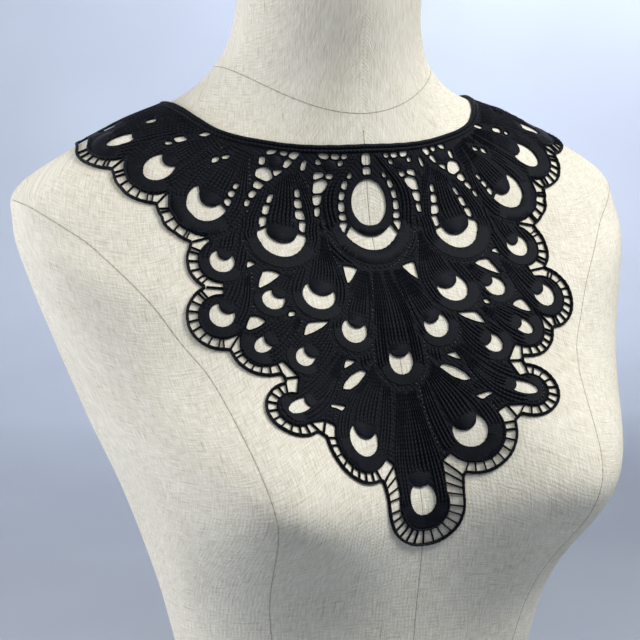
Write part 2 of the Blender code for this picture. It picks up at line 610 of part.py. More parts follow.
def inner_points(outline, holes):
    """Points inside the field: crests of the rims and cores, then an even grain."""
    points = []
    for name, root_u, root_v, eye_u, eye_v, length, width, rim, core_u, core_v, core in PLUMES:
        sides = (1, -1) if eye_u > 1 else (1,)
        axis = heading((core_u, core_v), (eye_u, eye_v))
        hole = (length + width) / 2
        crest = arc((eye_u, eye_v), (rim + hole) / 2, axis - 125, axis + 125, GRAIN)
        crest.append((core_u, core_v))
        for side in sides:
            points += [(side * a, b) for a, b in crest]
    across = GRAIN
    down = GRAIN * math.sqrt(3) / 2
    row = 0
    v = -66.0
    while v < 226:
        u = -165.0 + (row % 2) * across / 2
        while u < 165:
            points.append((u, v))
            u += across
        v += down
        row += 1
    segments = []
    for loop in [outline] + holes:
        segments += list(zip(loop, loop[1:] + loop[:1]))
    start = np.array([a for a, b in segments])
    way = np.array([b for a, b in segments]) - start
    kept = []
    for k, p in enumerate(points):
        part = np.clip(((p - start) * way).sum(1) / (way**2).sum(1), 0, 1)
        if np.hypot(*(start + way * part[:, None] - p).T).min() < 2.3:
            continue
        if kept and np.hypot(*(np.array(kept) - p).T).min() < GRAIN * 0.62:
            continue
        kept.append(p)
    inside = covers(outline, kept)
    for hole in holes:
        inside &= ~covers(hole, kept)
    return [p for p, ok in zip(kept, inside) if ok]


def covers(loop, points):
    """True for the points inside a closed line."""
    points = np.asarray(points, float)
    inside = np.zeros(len(points), bool)
    for (u1, v1), (u2, v2) in zip(loop, loop[1:] + loop[:1]):
        if v1 == v2:
            continue
        crossed = (points[:, 1] < v1) != (points[:, 1] < v2)
        where = u1 + (points[:, 1] - v1) * (u2 - u1) / (v2 - v1)
        inside ^= crossed & (points[:, 0] < where)
    return inside


def flat_mesh(outline, holes, extra):
    """Triangles of a flat shape with holes."""
    points = []
    edges = []
    for loop in [outline] + holes:
        first = len(points)
        points += loop
        edges += [(first + k, first + (k + 1) % len(loop)) for k in range(len(loop))]
    points += extra
    verts, _, faces, _, _, _ = delaunay_2d_cdt([Vector(p) for p in points], edges, [], 0, 1e-4)
    flat = np.array([tuple(p) for p in verts])
    faces = np.array([tuple(f) for f in faces])
    centre = flat[faces].mean(1)
    inside = covers(outline, centre)
    for hole in holes:
        inside &= ~covers(hole, centre)
    faces = faces[inside]
    a, b, c = flat[faces[:, 0]], flat[faces[:, 1]], flat[faces[:, 2]]
    turned = (b[:, 0] - a[:, 0]) * (c[:, 1] - a[:, 1]) - (b[:, 1] - a[:, 1]) * (c[:, 0] - a[:, 0]) < 0
    faces[turned] = faces[turned][:, ::-1]
    used = np.unique(faces)
    where = np.full(len(flat), -1)
    where[used] = np.arange(len(used))
    return flat[used], where[faces]


# solids
def clear_of(form_tree, net, flat, faces):
    """Height of the inner face over the form at each point, so that no facet touches the form."""
    height = np.full(len(flat), FIT)
    corner = np.concatenate([np.eye(3), (np.ones((3, 3)) - np.eye(3)) / 2, np.full((1, 3), 1 / 3)])
    for _ in range(6):
        place = bend(net, flat, height)
        samples = np.einsum("kc,fcx->fkx", corner, place[faces])
        lift = np.zeros(len(flat))
        for face, spots in zip(faces, samples):
            short = 0.0
            for spot in spots:
                hit, normal, _, _ = form_tree.find_nearest(Vector(spot))
                short = max(short, CLEAR / 1000 - (Vector(spot) - hit).dot(normal))
            if short > 0:
                for corner_id in face:
                    lift[corner_id] = max(lift[corner_id], short * 1000)
        if lift.max() < 0.01:
            break
        height += lift
    return height


def wall(name, form_tree, net, flat, faces, thickness, material, home):
    """A closed wall: plain inner face, raised outer face, rims all round."""
    height = clear_of(form_tree, net, flat, faces)
    count = len(flat)
    inner = bend(net, flat, height)
    outer = bend(net, flat, height + thickness)
    sides = {}
    for a, b, c in faces:
        for edge in ((a, b), (b, c), (c, a)):
            sides[edge] = True
    rims = [(a, b) for a, b in sides if (b, a) not in sides]
    solid = [tuple(int(k) for k in f) for f in faces]
    solid += [tuple(int(k) + count for k in f[::-1]) for f in faces]
    solid += [(int(b), int(a), int(a) + count, int(b) + count) for a, b in rims]
    return add_solid(name, np.concatenate([inner, outer]), solid, material, home)


def add_solid(name, places, faces, material, home):
    mesh = bpy.data.meshes.new(name)
    mesh.from_pydata([tuple(p) for p in places], [], faces)
    mesh.materials.append(material)
    work = bmesh.new()
    work.from_mesh(mesh)
    bmesh.ops.recalc_face_normals(work, faces=work.faces)
    if work.calc_volume(signed=True) < 0:
        bmesh.ops.reverse_faces(work, faces=work.faces)
    work.to_mesh(mesh)
    work.free()
    solid = bpy.data.objects.new(name, mesh)
    home.objects.link(solid)
    return solid


def build_form(material, home):
    levels = [0.0]
    for k, parts in enumerate(RING_PARTS):
        levels += [k + (j + 1) / parts for j in range(parts)]
    front = np.linspace(-math.pi / 2, math.pi / 2, FRONT_PARTS + 1)
    back = np.linspace(math.pi / 2, 3 * math.pi / 2, BACK_PARTS + 1)[1:-1]
    turns = np.concatenate([front, back])
    around = len(turns)
    places = form_point(np.array(levels)[:, None], turns[None, :]).reshape(-1, 3) / 100
    faces = []
    for i in range(len(levels) - 1):
        for j in range(around):
            k = (j + 1) % around
            faces.append((i * around + j, i * around + k, (i + 1) * around + k, (i + 1) * around + j))
    top = (len(levels) - 1) * around
    faces.append(tuple(range(around))[::-1])
    faces.append(tuple(top + j for j in range(around)))
    return add_solid("dress_form", places, faces, material, home)


def principled(name, colour, roughness):
    material = bpy.data.materials.new(name)
    material.use_nodes = True
    shader = material.node_tree.nodes["Principled BSDF"]
    shader.inputs["Base Color"].default_value = colour
    shader.inputs["Roughness"].default_value = roughness
    material.diffuse_color = colour
    return material


def main():
    for leftover in list(bpy.data.objects):
        bpy.data.objects.remove(leftover, do_unlink=True)
    home = bpy.data.collections.new("lace_collar")
    bpy.context.scene.collection.children.link(home)

    linen = principled("form_linen", LINEN_CREAM, 0.9)
    form = build_form(linen, home)
    work = bmesh.new()
    work.from_mesh(form.data)
    bmesh.ops.triangulate(work, faces=work.faces)
    tree = BVHTree.FromBMesh(work)
    work.free()

    net = lay_net()
    outline = field_outline()
    holes = field_holes()
    flat, faces = flat_mesh(outline, holes, inner_points(outline, holes))
    wall("lace_field", tree, net, flat, faces, WALL + relief(flat),
         principled("field_thread", LACE_BLACK, 0.8), home)

    flat, faces = flat_mesh(comb_outline(), [], [])
    wall("scallop_edge", tree, net, flat, faces, WALL + CORD_RISE / 2,
         principled("edge_thread", LACE_BLACK, 0.8), home)

    flat, faces = flat_mesh(band_outline(), [], [])
    wall("neck_band", tree, net, flat, faces, WALL + CORD_RISE / 2,
         principled("band_thread", LACE_BLACK, 0.8), home)


main()
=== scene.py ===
"""A black corded-lace bib collar worn by a linen-covered dress form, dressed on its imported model."""

import math
from collections import namedtuple

import bmesh
import bpy
import numpy as np
from mathutils import Matrix, Vector
from mathutils.geometry import delaunay_2d_cdt


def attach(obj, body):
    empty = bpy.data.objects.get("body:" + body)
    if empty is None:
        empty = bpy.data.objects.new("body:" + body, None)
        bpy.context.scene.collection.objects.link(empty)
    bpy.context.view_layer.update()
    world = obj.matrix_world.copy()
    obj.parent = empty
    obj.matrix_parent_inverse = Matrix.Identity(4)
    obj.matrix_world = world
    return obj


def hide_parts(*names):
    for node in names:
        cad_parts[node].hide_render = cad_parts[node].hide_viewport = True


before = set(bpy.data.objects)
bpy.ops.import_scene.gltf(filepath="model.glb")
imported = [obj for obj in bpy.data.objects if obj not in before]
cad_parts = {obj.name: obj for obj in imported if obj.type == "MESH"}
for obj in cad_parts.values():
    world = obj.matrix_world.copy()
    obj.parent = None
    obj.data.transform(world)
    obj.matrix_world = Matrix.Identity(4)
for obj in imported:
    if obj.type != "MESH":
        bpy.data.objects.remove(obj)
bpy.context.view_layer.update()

# the form, centimetres: one ring a row
# name, half width, front y, back y, side y, side z, front z, back z, squareness
RINGS = [
    ("base",      15.2, -9.8, 9.6, 0.3,  0.0,  0.0,  0.0,  1.0),
    ("high_hip",  15.0, -9.8, 9.4, 0.2,  2.0,  2.0,  2.0,  1.0),
    ("hip_rise",  12.6, -9.2, 8.0, -0.3, 7.0,  7.0,  7.0,  1.0),
    ("waist",     10.1, -8.8, 6.8, -0.8, 12.5, 12.5, 12.5, 1.0),
    ("ribs",      11.1, -9.4, 7.8, -1.5, 19.0, 18.2, 18.5, 1.0),
    ("bust",      13.2, -10.6, 9.0, -1.7, 25.7, 24.9, 25.5, 0.95),
    ("armpit",    15.4, -9.5, 9.6, -1.5, 31.0, 29.0, 32.0, 0.9),
    ("arm_plate", 17.8, -7.7, 9.6, 0.7,  38.2, 35.2, 38.5, 0.86),
    ("shoulder",  18.3, -5.8, 9.0, 2.2,  41.2, 38.2, 42.4, 0.85),
    ("yoke_3",    17.6, -4.8, 8.4, 3.0,  43.4, 40.0, 44.8, 0.9),
    ("yoke_2",    12.4, -4.4, 7.6, 3.0,  46.3, 41.4, 46.8, 0.95),
    ("yoke_1",    8.4,  -4.1, 6.9, 2.9,  47.9, 43.8, 48.4, 1.0),
    ("neck_base", 6.4,  -3.8, 6.3, 2.4,  49.6, 46.8, 50.0, 1.0),
    ("neck_low",  5.5,  -3.9, 6.0, 1.5,  51.6, 49.6, 51.8, 1.0),
    ("neck_mid",  5.3,  -4.6, 5.6, 0.7,  54.2, 53.0, 54.3, 1.0),
    ("neck_top",  5.5,  -5.4, 5.3, 0.0,  57.0, 57.0, 57.0, 1.0),
]
BUST_X = 9.7           # centimetres from the centre line
BUST_Z = 27.0
BUST_DEPTH = 5.2
BUST_ACROSS = 4.3
BUST_ABOVE = 3.8
BUST_BELOW = 3.4
FORM_SHIFT = 2.0656

# seams of the cover: ring position and degrees from the front
SIDE_SEAM = [(8.6, 90), (8.5, 74), (8.2, 61), (7.9, 53), (7.2, 44), (6.8, 40), (6.5, 36.5), (6.0, 37),
             (5.3, 40), (4.8, 42), (4.1, 42), (3.4, 40), (2, 38), (1.1, 37)]
CENTRE_SEAM = [(11.7, 0), (10, 0), (8, 0), (6, 0), (4, 0), (2, 0), (1.1, 0)]

# the even net on the form, centimetres
NET_STEP = 1.0
NET_ACROSS = 19
NET_TOP = -7
NET_DOWN = 37
NECK_RING = 11.42
TOP_LINE = [(0, -1.3), (4, -1.9), (5, -2), (6, -2.4), (7, -3), (8, -4), (9, -5.5), (10, -7)]
SIDE_LINE = [(-7, 18.1), (1, 18.1), (3, 17.1), (5, 15.1), (8, 14.1), (14, 13.1), (18, 10.1), (22, 7.1),
             (29, 4.1)]

# heights over the form and sizes of the threads, millimetres
LIE = 0.6              # underside of the lace
GROUND = 0.5           # thin ground between the cords
FOOT = 0.1             # the edges of a thread run reach this far under the lace
RIB_PITCH = 2.1        # corded ribs, centre to centre
RIB_HALF = (0.42, 1.1) # least and greatest half width of a rib
RIM_RISE = 0.95        # padded satin rim
PETAL_RISE = 0.8
CORD_HALF = 0.8        # outer cord, half width
CORD_RISE = 1.5
BAR_HALF = 0.45        # bar of the edging, half width
BAR_RISE = 1.2
BAR_PITCH = 5.6
NOTCH_BAR_PITCH = 4.2
NOTCH_BAR_ASIDE = 3.4  # the bars beside the one in a notch
BAR_FOOT = 0.5         # how far a bar reaches into the field
BAND_DEPTH = 2.75      # from the neckline down to the edge of the field
NECK_CORDS = [(1.2, 1.25, 1.8), (3.5, 1.1, 1.5)]  # depth, half width, rise
PIN_PITCH = 2.3        # pin holes of the needle
PIN_OUT = 1.3          # from the rim of a plume
PIN_LONG = 0.6         # half length
PIN_WIDE = 0.4         # half width
PIN_APART = 1.9
HEM_OUT = 0.32         # overcast thread of an opening: how far out, half width, rise
HEM_HALF = 0.42
HEM_RISE = 0.95
UNDER_RIBS = 4         # ribs of the ground outside a plume, on each side
UNDER_START = 2.7      # from its rim to the first of them
UNDER_REACH = 10.2     # how far they keep those of lower plumes off

# the lace, flat millimetres: u from the centre line, v down from the neckline; the left side is the mirror
# name, root u, v, root half width, eye u, v, half length, half width, rim radius, core u, v, radius
Plume = namedtuple("Plume", "name root_u root_v spread eye_u eye_v length width rim core_u core_v core")
PLUMES = [Plume(*row) for row in [
    ("breast",    66,  -8,  4, 91,    23.5,  11.2, 11.2, 20,   87.8,  19.3,  7.0),
    ("upper_arm", 76,  -17, 4, 114.0, -0.8,  9.8,  7.6,  17.5, 106.5, -5.5,  5.5),
    ("arm",       84,  -26, 4, 132.5, -25,   8.5,  4.2,  17.5, 122.5, -26,   4.0),
    ("shoulder",  92,  -38, 3, 141,   -46,   6.0,  3.6,  11,   133,   -45,   3.0),
    ("bib",       44,  2,   6, 52,    46,    13.5, 13.5, 21,   50.8,  41.8,  9.3),
    ("centre",    0,   1,   8, 0,     32,    27,   20,   27,   0,     31.5,  16),
    ("flank_1",   70,  22,  3, 88.3,  59.0,  6.8,  6.8,  13.3, 86,    54.5,  4.0),
    ("flank_2",   73,  52,  3, 95,    91.3,  7.0,  6.8,  12.8, 90.8,  86.2,  4.8),
    ("flank_3",   50,  92,  2, 76.3,  110.6, 6.2,  4.2,  13.3, 71.0,  107.6, 4.6),
    ("inner_1",   50,  66,  2, 65.3,  85.2,  6.5,  6.2,  11.3, 60.8,  80.8,  4.3),
    ("inner_2",   30,  46,  3, 39.3,  84.8,  9.2,  9.2,  15.6, 36.0,  78.0,  7.5),
    ("inner_3",   9,   70,  3, 24,    107.4, 7.4,  7.3,  12.7, 21.4,  101.0, 5.4),
    ("inner_4",   26,  84,  3, 55,    119.8, 6.2,  5.2,  11,   50.4,  116.2, 4.5),
    ("low_side",  28,  116, 3, 65.8,  147.7, 8.4,  3.8,  11,   58.6,  145,   3.9),
    ("low_heart", 9,   122, 3, 31.8,  168.6, 9.6,  9.5,  17.7, 29.2,  161.4, 7.1),
    ("middle",    0,   70,  4, 0,     126.0, 8.0,  6.6,  14,   0,     118.8, 5.5),
    ("tip",       0,   140, 5, 0,     204.4, 9.2,  7.8,  16,   0,     190.8, 6.8),
]]
FAR_RIM = {"centre": 36.5}
# name, centre u, centre v, radius of the field, radius of the cord
SCALLOPS = [
    ("tip",       0.0,   207.0, 15.2, 23.2),
    ("low_heart", 33.2,  169.3, 17.7, 23.4),
    ("low_side",  69.7,  149.8, 10.2, 15.7),
    ("flank_3",   76.0,  110.0, 13.3, 18.6),
    ("flank_2",   95.0,  92.0,  12.8, 18.5),
    ("flank_1",   88.3,  59.3,  13.3, 19.0),
    ("breast",    92.0,  22.3,  20.0, 25.8),
    ("upper_arm", 115.8, -2.0,  17.5, 23.4),
    ("arm",       134.7, -27.5, 17.5, 23.6),
]
FIELD = 3              # place of each radius in a row
CORD = 4
FIELD_NOTCH = {"tip": (14.5, 184), "low_heart": (54, 157.3), "low_side": (62, 131), "flank_2": (91, 76),
               "flank_1": (93, 44.3)}
FIELD_START = {"low_side": -35}
FIELD_STOP = {"tip": 110}
CORD_STOP = {"tip": 97}
CORD_NOTCH = {"tip": (24, 193.5), "low_heart": (58.5, 165.5), "low_side": (69.8, 131.3)}
NECKLINE = [(0, -1), (14, -1.3), (28, -2.5), (42, -5), (55, -9), (68, -14), (79, -20.5), (87, -29), (94, -39),
            (100, -49), (105, -58), (108, -65)]
FIELD_END = [(151.8, -42), (153.4, -47.5), (156.4, -52.8), (150, -56), (136, -60.5), (122, -63.8)]
CORD_END = [(158.6, -37), (159.6, -43), (159.4, -48), (158.9, -51.5)]
# name, outer centre u, v, half width, half height, from, to degrees, then the same of the inner oval
CRESCENTS = [
    ("bib",    52, 46,   13.5, 13.5, -82, 104, 50.8, 41.8, 9.3,  9.3,  -62, 95),
    ("centre", 0,  32,   20,   27.0, -50, 50,  0,    32.0, 15.0, 18.5, -50, 50),
    ("breast", 91, 23.5, 11.2, 11.2, -60, 162, 87.8, 19.3, 7.0,  7.0,  -35, 112),
]
CENTRE_HOLE = (0, 31.3, 10.4, 12.9)
# cells of the net at the neckline, with a bar between each two; corner u, v
NET_CELLS = [
    [(-2.4, 4.4), (2.4, 4.4), (2.5, 10.3), (-2.5, 10.3)],
    [(-2.2, 11.8), (2.2, 11.8), (2.2, 15.8), (-2.2, 15.8)],
    [(10.5, 4.4), (13.8, 4.0), (14.0, 6.2), (11.4, 6.3)],
    [(15.2, 4.0), (19.6, 3.6), (19.8, 5.8), (16.0, 6.3)],
    [(21.0, 3.6), (27.0, 2.2), (26.0, 4.8), (22.0, 5.9)],
    [(13.4, 7.6), (16.4, 7.7), (16.2, 10.3), (14.0, 9.6)],
    [(26.1, 6.5), (28.2, 5.3), (28.8, 8.2), (26.1, 8.6)],
    [(19.4, 14.6), (23.6, 14.2), (24.0, 16.0), (21.0, 17.2)],
    [(25.1, 13.0), (30.0, 12.9), (31.0, 16.7), (25.4, 15.2)],
    [(23.0, 18.5), (26.0, 16.8), (30.8, 18.2), (32.0, 24.0), (27.4, 24.0), (24.6, 21.6)],
    [(27.0, 25.4), (32.2, 25.4), (32.4, 30.6), (28.8, 30.5)],
    [(28.8, 31.9), (32.0, 32.0), (32.2, 36.6), (29.8, 36.4)],
    [(33.6, 5.2), (36.0, 6.0), (37.6, 10.6), (35.4, 10.9)],
    [(36.6, 0.7), (41.8, 0.2), (43.0, 2.6), (40.0, 4.5)],
    [(43.2, -0.4), (47.4, -1.4), (47.3, 0.6), (44.8, 1.8)],
    [(48.7, -2.3), (54.2, -3.2), (54.8, -0.7), (51.0, -0.4)],
    [(56.0, 1.0), (58.6, -0.3), (59.6, 4.8), (57.0, 4.9)],
    [(41.4, 5.4), (44.4, 3.4), (47.0, 7.6), (45.2, 8.6)],
    [(47.0, 9.6), (52.6, 9.0), (52.0, 12.6)],
    [(54.2, 8.6), (57.2, 6.3), (61.4, 7.2), (62.8, 11.2), (56.8, 14.9), (53.4, 13.2)],
    [(58.4, 16.6), (62.8, 13.4), (64.8, 17.2), (61.6, 19.0)],
    [(63.0, 20.4), (65.8, 18.7), (68.2, 22.2), (66.4, 23.4)],
    [(67.4, 24.8), (69.6, 23.6), (71.0, 27.4), (69.2, 28.0)],
    [(8.8, 15.0), (10.6, 14.6), (12.0, 17.0), (9.8, 17.6)],
    [(11.6, 19.4), (14.0, 18.6), (15.8, 22.0), (13.2, 23.4)],
    [(13.8, 25.0), (16.6, 24.2), (17.5, 28.7), (14.8, 28.9)],
    [(14.8, 30.4), (17.8, 30.2), (18.1, 34.6), (14.8, 34.8)],
    [(14.6, 36.3), (18.2, 36.1), (18.1, 40.0), (14.0, 40.3)],
    [(13.2, 41.8), (18.0, 41.5), (18.0, 47.6), (15.9, 47.8)],
    [(39.6, 21.2), (41.8, 21.0), (42.2, 25.2), (39.4, 25.4)],
    [(39.4, 26.9), (42.8, 26.6), (43.2, 31.0), (39.0, 31.5)],
    [(38.8, 33.0), (43.2, 32.4), (43.0, 37.2), (38.0, 38.4)],
    [(37.8, 39.9), (41.6, 39.0), (41.0, 44.9), (38.4, 46.3)],
    [(54.0, 22.2), (56.6, 22.6), (58.8, 26.6), (56.4, 26.8)],
    [(57.2, 28.3), (60.2, 27.8), (61.6, 32.8), (58.4, 33.4)],
    [(59.0, 34.9), (62.6, 34.3), (64.6, 40.6), (61.0, 39.7)],
    [(72.0, 14.8), (74.2, 13.8), (76.0, 16.6), (74.3, 17.6)],
    [(75.0, 18.9), (77.6, 17.6), (79.2, 20.4), (77.0, 22.2)],
    [(77.4, 23.8), (80.0, 21.8), (81.6, 24.2), (79.8, 27.2)],
    [(75.0, -3.4), (78.8, -3.2), (79.4, -1.2), (76.0, -1.0)],
    [(80.7, -2.8), (84.0, -3.0), (85.5, 0.6), (82.0, 0.0)],
    [(82.8, -18.0), (85.6, -20.3), (90.6, -18.8), (87.0, -16.9)],
    [(96.5, -16.0), (98.5, -19.6), (104.0, -19.0), (102.3, -15.2)],
    [(105.6, -16.8), (108.6, -17.4), (108.6, -14.8), (105.2, -14.4)],
    [(112.4, -38.9), (117.6, -38.2), (117.2, -34.2), (112.4, -34.6)],
]
# gaps where the plumes part
GAPS = [
    [(12.8, 69.5), (17.0, 68.0), (21.3, 67.2), (21.2, 79.2), (17.0, 75.5)],
    [(57.5, 69.5), (62.0, 67.2), (67.0, 66.8), (70.0, 72.0), (72.0, 78.0), (66.0, 75.5), (61.0, 72.3)],
    [(69.8, 62.2), (74.2, 59.4), (75.8, 64.8)],
    [(37.0, 100.8), (43.0, 100.6), (49.0, 100.6), (51.3, 103.5), (53.6, 108.4), (48.0, 107.0), (42.0, 104.4)],
    [(72.2, 97.8), (75.6, 94.8), (79.8, 93.6), (82.0, 96.8), (84.2, 100.4), (82.6, 102.0), (77.5, 100.6)],
    [(26.0, 124.4), (32.2, 123.2), (34.8, 128.6), (30.0, 126.6)],
    [(21.0, 131.2), (24.0, 129.4), (30.0, 131.8), (35.5, 136.0), (38.2, 139.8), (33.5, 140.4), (27.5, 137.3)],
    [(38.0, 149.4), (46.5, 147.6), (48.6, 149.6), (45.0, 150.4), (41.8, 152.4)],
    [(55.0, 93.6), (58.4, 93.2), (60.0, 96.8), (55.8, 96.4)],
]
# rosettes in the net: centre u, v, radius
ROSETTES = [(50.8, 4.4, 4.0), (21.3, 9.8, 4.2)]
# the plumes from the uppermost to the lowest, as they overlap
OVERLAP = ["centre", "bib", "breast", "upper_arm", "arm", "shoulder", "inner_2", "flank_1", "inner_1",
           "flank_2", "middle", "inner_3", "inner_4", "flank_3", "low_heart", "low_side", "tip"]
ON_TOP = sorted(PLUMES, key=lambda row: OVERLAP.index(row.name))


def blend(f, here, slope_here, there, slope_there):
    """Smooth way from here to there, with the slopes given at both ends."""
    return ((2 * f**3 - 3 * f**2 + 1) * here + (f**3 - 2 * f**2 + f) * slope_here
            + (3 * f**2 - 2 * f**3) * there + (f**3 - f**2) * slope_there)


def unit(ways):
    return ways / np.maximum(np.linalg.norm(ways, axis=-1, keepdims=True), 1e-9)


# the form
def ring_row(s):
    """Sizes of the form at ring position s, smooth between the rows of the table."""
    rows = np.array([r[1:] for r in RINGS], float)
    last = len(rows) - 1
    i = np.clip(np.floor(s).astype(int), 0, last - 1)
    f = (s - i)[..., None]
    here = rows[i]
    above = rows[i + 1]
    slope_here = (above - rows[np.maximum(i - 1, 0)]) * 0.5
    slope_above = (rows[np.minimum(i + 2, last)] - here) * 0.5
    return blend(f, here, slope_here, above, slope_above)


def form_point(s, t):
    """Point of the form in centimetres: s ring position, t angle from the front towards +X."""
    s, t = np.broadcast_arrays(np.asarray(s, float), np.asarray(t, float))
    width, front_y, back_y, side_y, side_z, front_z, back_z, square = np.moveaxis(ring_row(s), -1, 0)
    sine = np.sin(t)
    cosine = np.cos(t)
    x = width * np.sign(sine) * np.abs(sine) ** square
    y = side_y + (np.where(cosine >= 0, front_y, back_y) - side_y) * np.abs(cosine) ** square
    z = side_z + (np.where(cosine >= 0, front_z, back_z) - side_z) * cosine**2
    across = (np.abs(x) - BUST_X) / BUST_ACROSS
    down = z - BUST_Z
    down = np.where(down > 0, down / BUST_ABOVE, down / BUST_BELOW)
    fade = np.clip(cosine / 0.25, 0, 1)
    y = y - np.exp(-(across**2 + down**2) / 2) * BUST_DEPTH * fade**2 * (3 - 2 * fade)
    return np.stack([x, y + FORM_SHIFT, z], -1)


def form_slopes(s, t, e=1e-3):
    along = (form_point(s + e, t) - form_point(s - e, t)) / (2 * e)
    around = (form_point(s, t + e) - form_point(s, t - e)) / (2 * e)
    return along, around


def form_normal(s, t):
    along, around = form_slopes(s, t)
    return unit(np.cross(around, along))


# the even net that lays the flat lace on the form
def neighbours(di, dj):
    if dj >= 0:
        near = (slice(0, NET_ACROSS - di), slice(0, NET_DOWN - dj))
        far = (slice(di, NET_ACROSS), slice(dj, NET_DOWN))
    else:
        near = (slice(0, NET_ACROSS - di), slice(-dj, NET_DOWN))
        far = (slice(di, NET_ACROSS), slice(0, NET_DOWN + dj))
    return near, far


def even_out(s, t, used, rounds, carry):
    """Slides the net on the form until its threads have their flat lengths."""
    speed_s = np.zeros_like(s)
    speed_t = np.zeros_like(s)
    for _ in range(rounds):
        places = form_point(s, t)
        along, around = form_slopes(s, t)
        pull = np.zeros_like(places)
        count = np.zeros(s.shape)
        for di, dj, weight in ((1, 0, 1.0), (0, 1, 1.0), (1, 1, 0.5), (1, -1, 0.5)):
            near, far = neighbours(di, dj)
            gap = places[far] - places[near]
            length = np.linalg.norm(gap, axis=-1, keepdims=True) + 1e-9
            held = (used[near] & used[far])[..., None] * weight
            part = gap * (1 - NET_STEP * math.hypot(di, dj) / length) * held
            pull[near] += part
            pull[far] -= part
            count[near] += held[..., 0]
            count[far] += held[..., 0]
        pull /= np.maximum(count, 1)[..., None]
        a = (along * along).sum(-1)
        b = (along * around).sum(-1)
        c = (around * around).sum(-1)
        p = (along * pull).sum(-1)
        q = (around * pull).sum(-1)
        whole = a * c - b * b + 1e-9
        speed_s = carry * speed_s + 0.8 * (c * p - b * q) / whole
        speed_t = carry * speed_t + 0.8 * (a * q - b * p) / whole
        speed_t[0] = 0
        speed_s[0, -NET_TOP] = 0
        s = s + np.clip(speed_s, -0.1, 0.1) * used
        t = t + np.clip(speed_t, -0.05, 0.05) * used
    return s, t


def walk(s, t, way):
    along, around = form_slopes(s, t)
    step = np.linalg.lstsq(np.stack([along, around], 1), way, rcond=None)[0]
    return s + step[0], t + step[1]


def lay_net():
    """Ring position and angle of every knot of the net, column by column from the centre line."""
    u, v = np.meshgrid(np.arange(NET_ACROSS) * NET_STEP, (NET_TOP + np.arange(NET_DOWN)) * NET_STEP,
                       indexing="ij")
    wanted = (v >= np.interp(u, *zip(*TOP_LINE))) & (u <= np.interp(v, *zip(*SIDE_LINE)))
    s = np.zeros(u.shape)
    t = np.zeros(u.shape)
    line = np.linspace(14, 3, 4000)
    middle = form_point(line, 0 * line)
    length = length_along(middle)
    s[0] = np.interp(np.interp(-NECK_RING, -line, length) + v[0], length, line)
    used = np.zeros_like(wanted)
    used[0] = wanted[0]
    for i in range(1, NET_ACROSS):
        places = form_point(s[i - 1], t[i - 1])
        rows = np.nonzero(used[i - 1])[0]
        for j in range(NET_DOWN - 1, -1, -1):
            if not wanted[i, j]:
                continue
            if used[i - 1, j]:
                thread = places[min(j + 1, rows.max())] - places[max(j - 1, rows.min())]
                along, around = form_slopes(s[i - 1, j], t[i - 1, j])
                side = np.cross(thread, np.cross(around, along))
                side *= math.copysign(NET_STEP, side @ around) / np.linalg.norm(side)
                s[i, j], t[i, j] = walk(s[i - 1, j], t[i - 1, j], side)
            else:
                way = form_point(s[i, j + 1], t[i, j + 1]) - form_point(s[i, j + 2], t[i, j + 2])
                way *= NET_STEP / np.linalg.norm(way)
                s[i, j], t[i, j] = walk(s[i, j + 1], t[i, j + 1], way)
        used[i] = wanted[i]
        s, t = even_out(s, t, used, 40, 0.5)
    return even_out(s, t, used, 300, 0.8)


def lay(flat, height):
    """Flat millimetres and height above the form to metres on the form."""
    flat = np.asarray(flat, float)
    u = np.abs(flat[:, 0]) / 10
    v = flat[:, 1] / 10
    i = np.clip(np.floor(u).astype(int), 0, NET_ACROSS - 2)
    j = np.clip(np.floor(v - NET_TOP).astype(int), 0, NET_DOWN - 2)
    a = u - i
    b = v - NET_TOP - j
    s, t = [g[i, j] * (1 - a) * (1 - b) + g[i + 1, j] * a * (1 - b) + g[i, j + 1] * (1 - a) * b
            + g[i + 1, j + 1] * a * b for g in NET]
    place = form_point(s, t) + form_normal(s, t) * (np.broadcast_to(height, len(u)) / 10)[:, None]
    place[:, 0] *= np.where(flat[:, 0] < 0, -1, 1)
    return place / 100


# flat shapes
def on_oval(centre, half_u, half_v, degrees):
    """Point of an oval; the angle runs from straight down towards +u."""
    turn = math.radians(degrees)
    return (centre[0] + half_u * math.sin(turn), centre[1] + half_v * math.cos(turn))


def arc(centre, radius, start, end, step):
    parts = max(1, math.ceil(abs(math.radians(end - start)) * radius / step))
    return [on_oval(centre, radius, radius, start + (end - start) * k / parts) for k in range(parts + 1)]


def heading(here, there):
    return math.degrees(math.atan2(there[0] - here[0], there[1] - here[1]))


def notch(low, high, radius_low, radius_high, given):
    if given is not None:
        return given
    step = np.subtract(high, low)
    far = np.hypot(*step)
    step = step / far
    ahead = (radius_low**2 - radius_high**2 + far**2) / (2 * far)
    aside = math.sqrt(max(0.0, radius_low**2 - ahead**2))
    return (low[0] + ahead * step[0] - aside * step[1], low[1] + ahead * step[1] + aside * step[0])


def scallop_arcs(column, given, end, first, last):
    """One (name, centre, radius, start, stop, notch after) for each scallop, from the tip up to the arm."""
    rows = []
    start = 0.0
    for k, row in enumerate(SCALLOPS):
        name = row[0]
        centre = row[1:3]
        radius = row[column]
        if k + 1 < len(SCALLOPS):
            above = SCALLOPS[k + 1]
            meet = notch(centre, above[1:3], radius, above[column], given.get(name))
            stop = heading(centre, meet)
        else:
            meet = None
            stop = end
        while stop < start:
            stop += 360
        rows.append((name, centre, radius, first.get(name, start), min(stop, last.get(name, stop)), meet))
        if meet is not None:
            start = heading(above[1:3], meet)
            if start > 90:
                start -= 360
    return rows


def mirror(points):
    return [(-p[0], p[1]) for p in points]


def both_sides(path, mirrored=True):
    """The path, and its mirror where the left side has one too."""
    return (path, path * [-1, 1]) if mirrored else (path,)


def length_along(points):
    """Distance of each point from the start of its line."""
    return np.r_[0, np.cumsum(np.linalg.norm(np.diff(points, axis=0), axis=1))]


